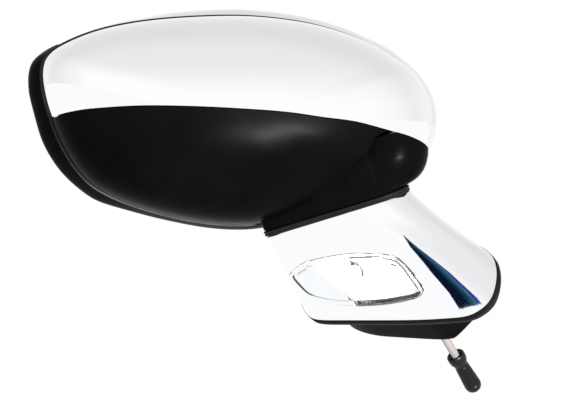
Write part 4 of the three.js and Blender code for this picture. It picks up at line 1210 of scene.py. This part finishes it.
# ---------------------------------------------------------------- world
def studio_world():
    """Soft surroundings, a little greyer overhead, beyond the mirror and to the sides."""
    world = bpy.data.worlds.new("studio")
    bpy.context.scene.world = world
    world.use_nodes = True
    tree = world.node_tree
    tree.nodes.clear()
    output = add_node(tree, "OutputWorld")
    direction = add_node(tree, "TexCoord").outputs["Generated"]

    def fade(axis, start, end, low, high):
        along = add_node(tree, "VectorMath", {0: direction, 1: [float(c) for c in axis]},
                         operation="DOT_PRODUCT").outputs["Value"]
        return map_range(tree, along, low, high, start, end, kind="SMOOTHSTEP")

    level = calculate(tree, "MULTIPLY",
                      fade([0, 0, 1], start=0.12, end=0.9, low=1.06, high=0.88),
                      fade(AWAY, start=-0.35, end=0.35, low=1.0, high=0.90))
    level = calculate(tree, "MULTIPLY", level, fade(RIGHT, start=0.8, end=1.0, low=1.0, high=0.95))
    level = calculate(tree, "MULTIPLY", level,
                      fade(RIGHT, start=-1.0, end=-0.7, low=0.90, high=1.0))
    grey = add_node(tree, "CombineColor", {0: level, 1: level, 2: level}).outputs[0]
    camera_ray = add_node(tree, "LightPath").outputs["Is Camera Ray"]
    background = add_node(tree, "Background", {
        0: mix_colour(tree, camera_ray, grey, (1, 1, 1)), "Strength": 1.0})
    feed(output, {0: background.outputs[0]})


studio_world()

# ---------------------------------------------------------------- light and camera
light = bpy.data.lights.new("softbox", "AREA")
light.energy = 75
light.shape = "RECTANGLE"
light.size, light.size_y = 0.34, 0.08
softbox = bpy.data.objects.new("softbox", light)
bpy.context.scene.collection.objects.link(softbox)
softbox.location = to_part([488, -1194, -178])[0]
aim = Vector(to_part([-58, -50, 38])[0]) - Vector(to_part([488, -1194, -178])[0])
softbox.rotation_euler = aim.to_track_quat("-Z", "Y").to_euler()

CAMERA_DISTANCE = 1500   # mm from the view's y = 0
VIEW_WIDTH = 342.6       # mm seen across at that distance
UP = Vector((0, 0, 1))
EYE = Vector(to_part([-57.3, -CAMERA_DISTANCE, -3.6])[0])
lens_data = bpy.data.cameras.new("camera")
camera = bpy.data.objects.new("camera", lens_data)
bpy.context.scene.collection.objects.link(camera)
lens_data.sensor_fit = "HORIZONTAL"
lens_data.sensor_width = 36
lens_data.lens = 36 * CAMERA_DISTANCE / VIEW_WIDTH
lens_data.clip_start = 0.05
lens_data.clip_end = 50
camera_axes = Matrix((Vector(RIGHT), UP, -Vector(AWAY))).transposed().to_4x4()
camera.matrix_world = Matrix.Translation(EYE) @ camera_axes
bpy.context.scene.camera = camera

# ---------------------------------------------------------------- streak card
# A dark blue card that glows, seen only in reflection as the streak along the valley of the foot:
# a painted reflection. Edges of the streak in the plane y = 0, in mm right of and above the
# camera's axis: (left x, z, right x, z)
STREAK = [
    (70.14, -20.88, 70.62, -20.88), (72.6, -24.3, 75.0, -24.72), (75.48, -28.8, 80.1, -28.92),
    (81.6, -36.3, 89.1, -36.0), (88.02, -43.8, 98.7, -43.5), (93.3, -50.1, 104.7, -49.2),
    (98.52, -56.28, 110.1, -54.0), (101.7, -61.2, 114.9, -58.5), (104.1, -65.7, 117.9, -62.4),
    (107.1, -68.52, 117.3, -66.6)]
STREAK_MIDDLE = (92.7, -49.2)
STREAK_COLS = 7
# rays over which a reflection is averaged, as offsets in mm
RAY_SPREAD = [(0, 0), (1.44, 0), (-1.44, 0), (0, -1.44), (0, 1.44), (1.2, -1.2), (1.2, 1.2),
              (-1.2, -1.2), (-1.2, 1.2)]
CARD_DISTANCE = 0.13  # metres


def reflect(x, z):
    """Where the camera's ray meets the foot and its way on, or None if a ray misses."""
    normal = Vector()
    for dx, dz in RAY_SPREAD:
        ray = (Vector(RIGHT) * (x + dx) + UP * (z + dz)
               + Vector(AWAY) * CAMERA_DISTANCE).normalized()
        place, face_normal = FOOT_SURFACE.ray_cast(EYE, ray)[:2]
        if place is None:
            return None
        normal += face_normal if face_normal.dot(ray) < 0 else -face_normal
        if dx == dz == 0:
            middle, middle_ray = place, ray
    normal.normalize()
    return middle, middle_ray - 2 * middle_ray.dot(normal) * normal


def card_material(top):
    """Blue, shown only to rays that start below top and arrive as the valley's do: from the
    direction and the distance kept at each point."""
    material, tree, output = new_material("blue_card")

    def attribute(name, socket):
        return add_node(tree, "Attribute", attribute_name=name).outputs[socket]

    blues = ramp(tree, attribute("across", "Fac"), [
        (0.0, (0.003, 0.004, 0.025)), (0.42, (0.002, 0.008, 0.02)), (0.58, (0.008, 0.05, 0.09)),
        (0.8, (0.05, 0.18, 0.28)), (0.9, (0.02, 0.05, 0.24)), (1.0, (0.30, 0.10, 0.75))])
    patches = map_range(tree, noise(tree, scale=60, roughness=0.7), low=0, high=0.55,
                        start=0.4, end=0.65)
    glow = add_node(tree, "Emission", {0: mix_colour(tree, patches, blues,
                                                     (0.004, 0.012, 0.04))})
    geometry = add_node(tree, "NewGeometry").outputs
    ray_length = add_node(tree, "LightPath").outputs["Ray Length"]
    match = add_node(tree, "VectorMath", {0: geometry["Incoming"],
                                          1: attribute("back", "Vector")},
                     operation="DOT_PRODUCT").outputs["Value"]
    same_way = calculate(tree, "GREATER_THAN", match, 0.955)
    off = calculate(tree, "SUBTRACT", ray_length, attribute("far", "Fac"))
    same_far = calculate(tree, "LESS_THAN", calculate(tree, "ABSOLUTE", off), 0.014)
    place_z, incoming_z = (add_node(tree, "SeparateXYZ", {0: geometry[key]}).outputs["Z"]
                           for key in ("Position", "Incoming"))
    start_z = calculate(tree, "ADD", place_z,
                        calculate(tree, "MULTIPLY", incoming_z, ray_length))
    low_down = calculate(tree, "LESS_THAN", start_z, top)
    shown = calculate(tree, "MULTIPLY", calculate(tree, "MULTIPLY", same_way, same_far), low_down)
    feed(output, {0: mix_shader(tree, shown, add_node(tree, "BsdfTransparent"), glow)})
    return material


def streak_card():
    middle = reflect(*STREAK_MIDDLE)
    if middle is None:
        return
    facing = (Vector(RIGHT) * -0.72 + Vector(AWAY) * -0.68 + Vector((0, 0, 0.05))).normalized()
    card_place = middle[0] + facing * CARD_DISTANCE
    points, backs, distances, starts = [], [], [], []
    for left_x, left_z, right_x, right_z in STREAK:
        row = []
        for i in range(STREAK_COLS):
            u = i / (STREAK_COLS - 1)
            found = reflect(left_x + u * (right_x - left_x), left_z + u * (right_z - left_z))
            if found is None or found[1].dot(facing) < 0.72:
                break
            start, way = found
            distance = (card_place - start).dot(facing) / way.dot(facing)
            row.append((start + way * distance, -way, distance))
            starts.append(start.z)
        if len(row) == STREAK_COLS:  # only whole rows are kept
            for point, back, distance in row:
                points.append(point)
                backs.append(back)
                distances.append(distance)
    rows = len(points) // STREAK_COLS
    if rows < 3:
        return
    card = stage_mesh("streak_card", points, grid_faces(rows, STREAK_COLS, wrap=False),
                      card_material(max(starts) + 0.001))
    attributes = card.data.attributes
    for name, kind in (("across", "FLOAT"), ("back", "FLOAT_VECTOR"), ("far", "FLOAT")):
        attributes.new(name, kind, "POINT")
    for i in range(len(points)):
        attributes["across"].data[i].value = (i % STREAK_COLS) / (STREAK_COLS - 1)
        attributes["back"].data[i].vector = backs[i]
        attributes["far"].data[i].value = distances[i]
    card.visible_camera = False
    card.visible_diffuse = False
    card.visible_shadow = False
    card.visible_transmission = False


streak_card()
bpy.context.scene.view_settings.view_transform = "Standard"
bpy.context.scene.view_settings.exposure = 0.0
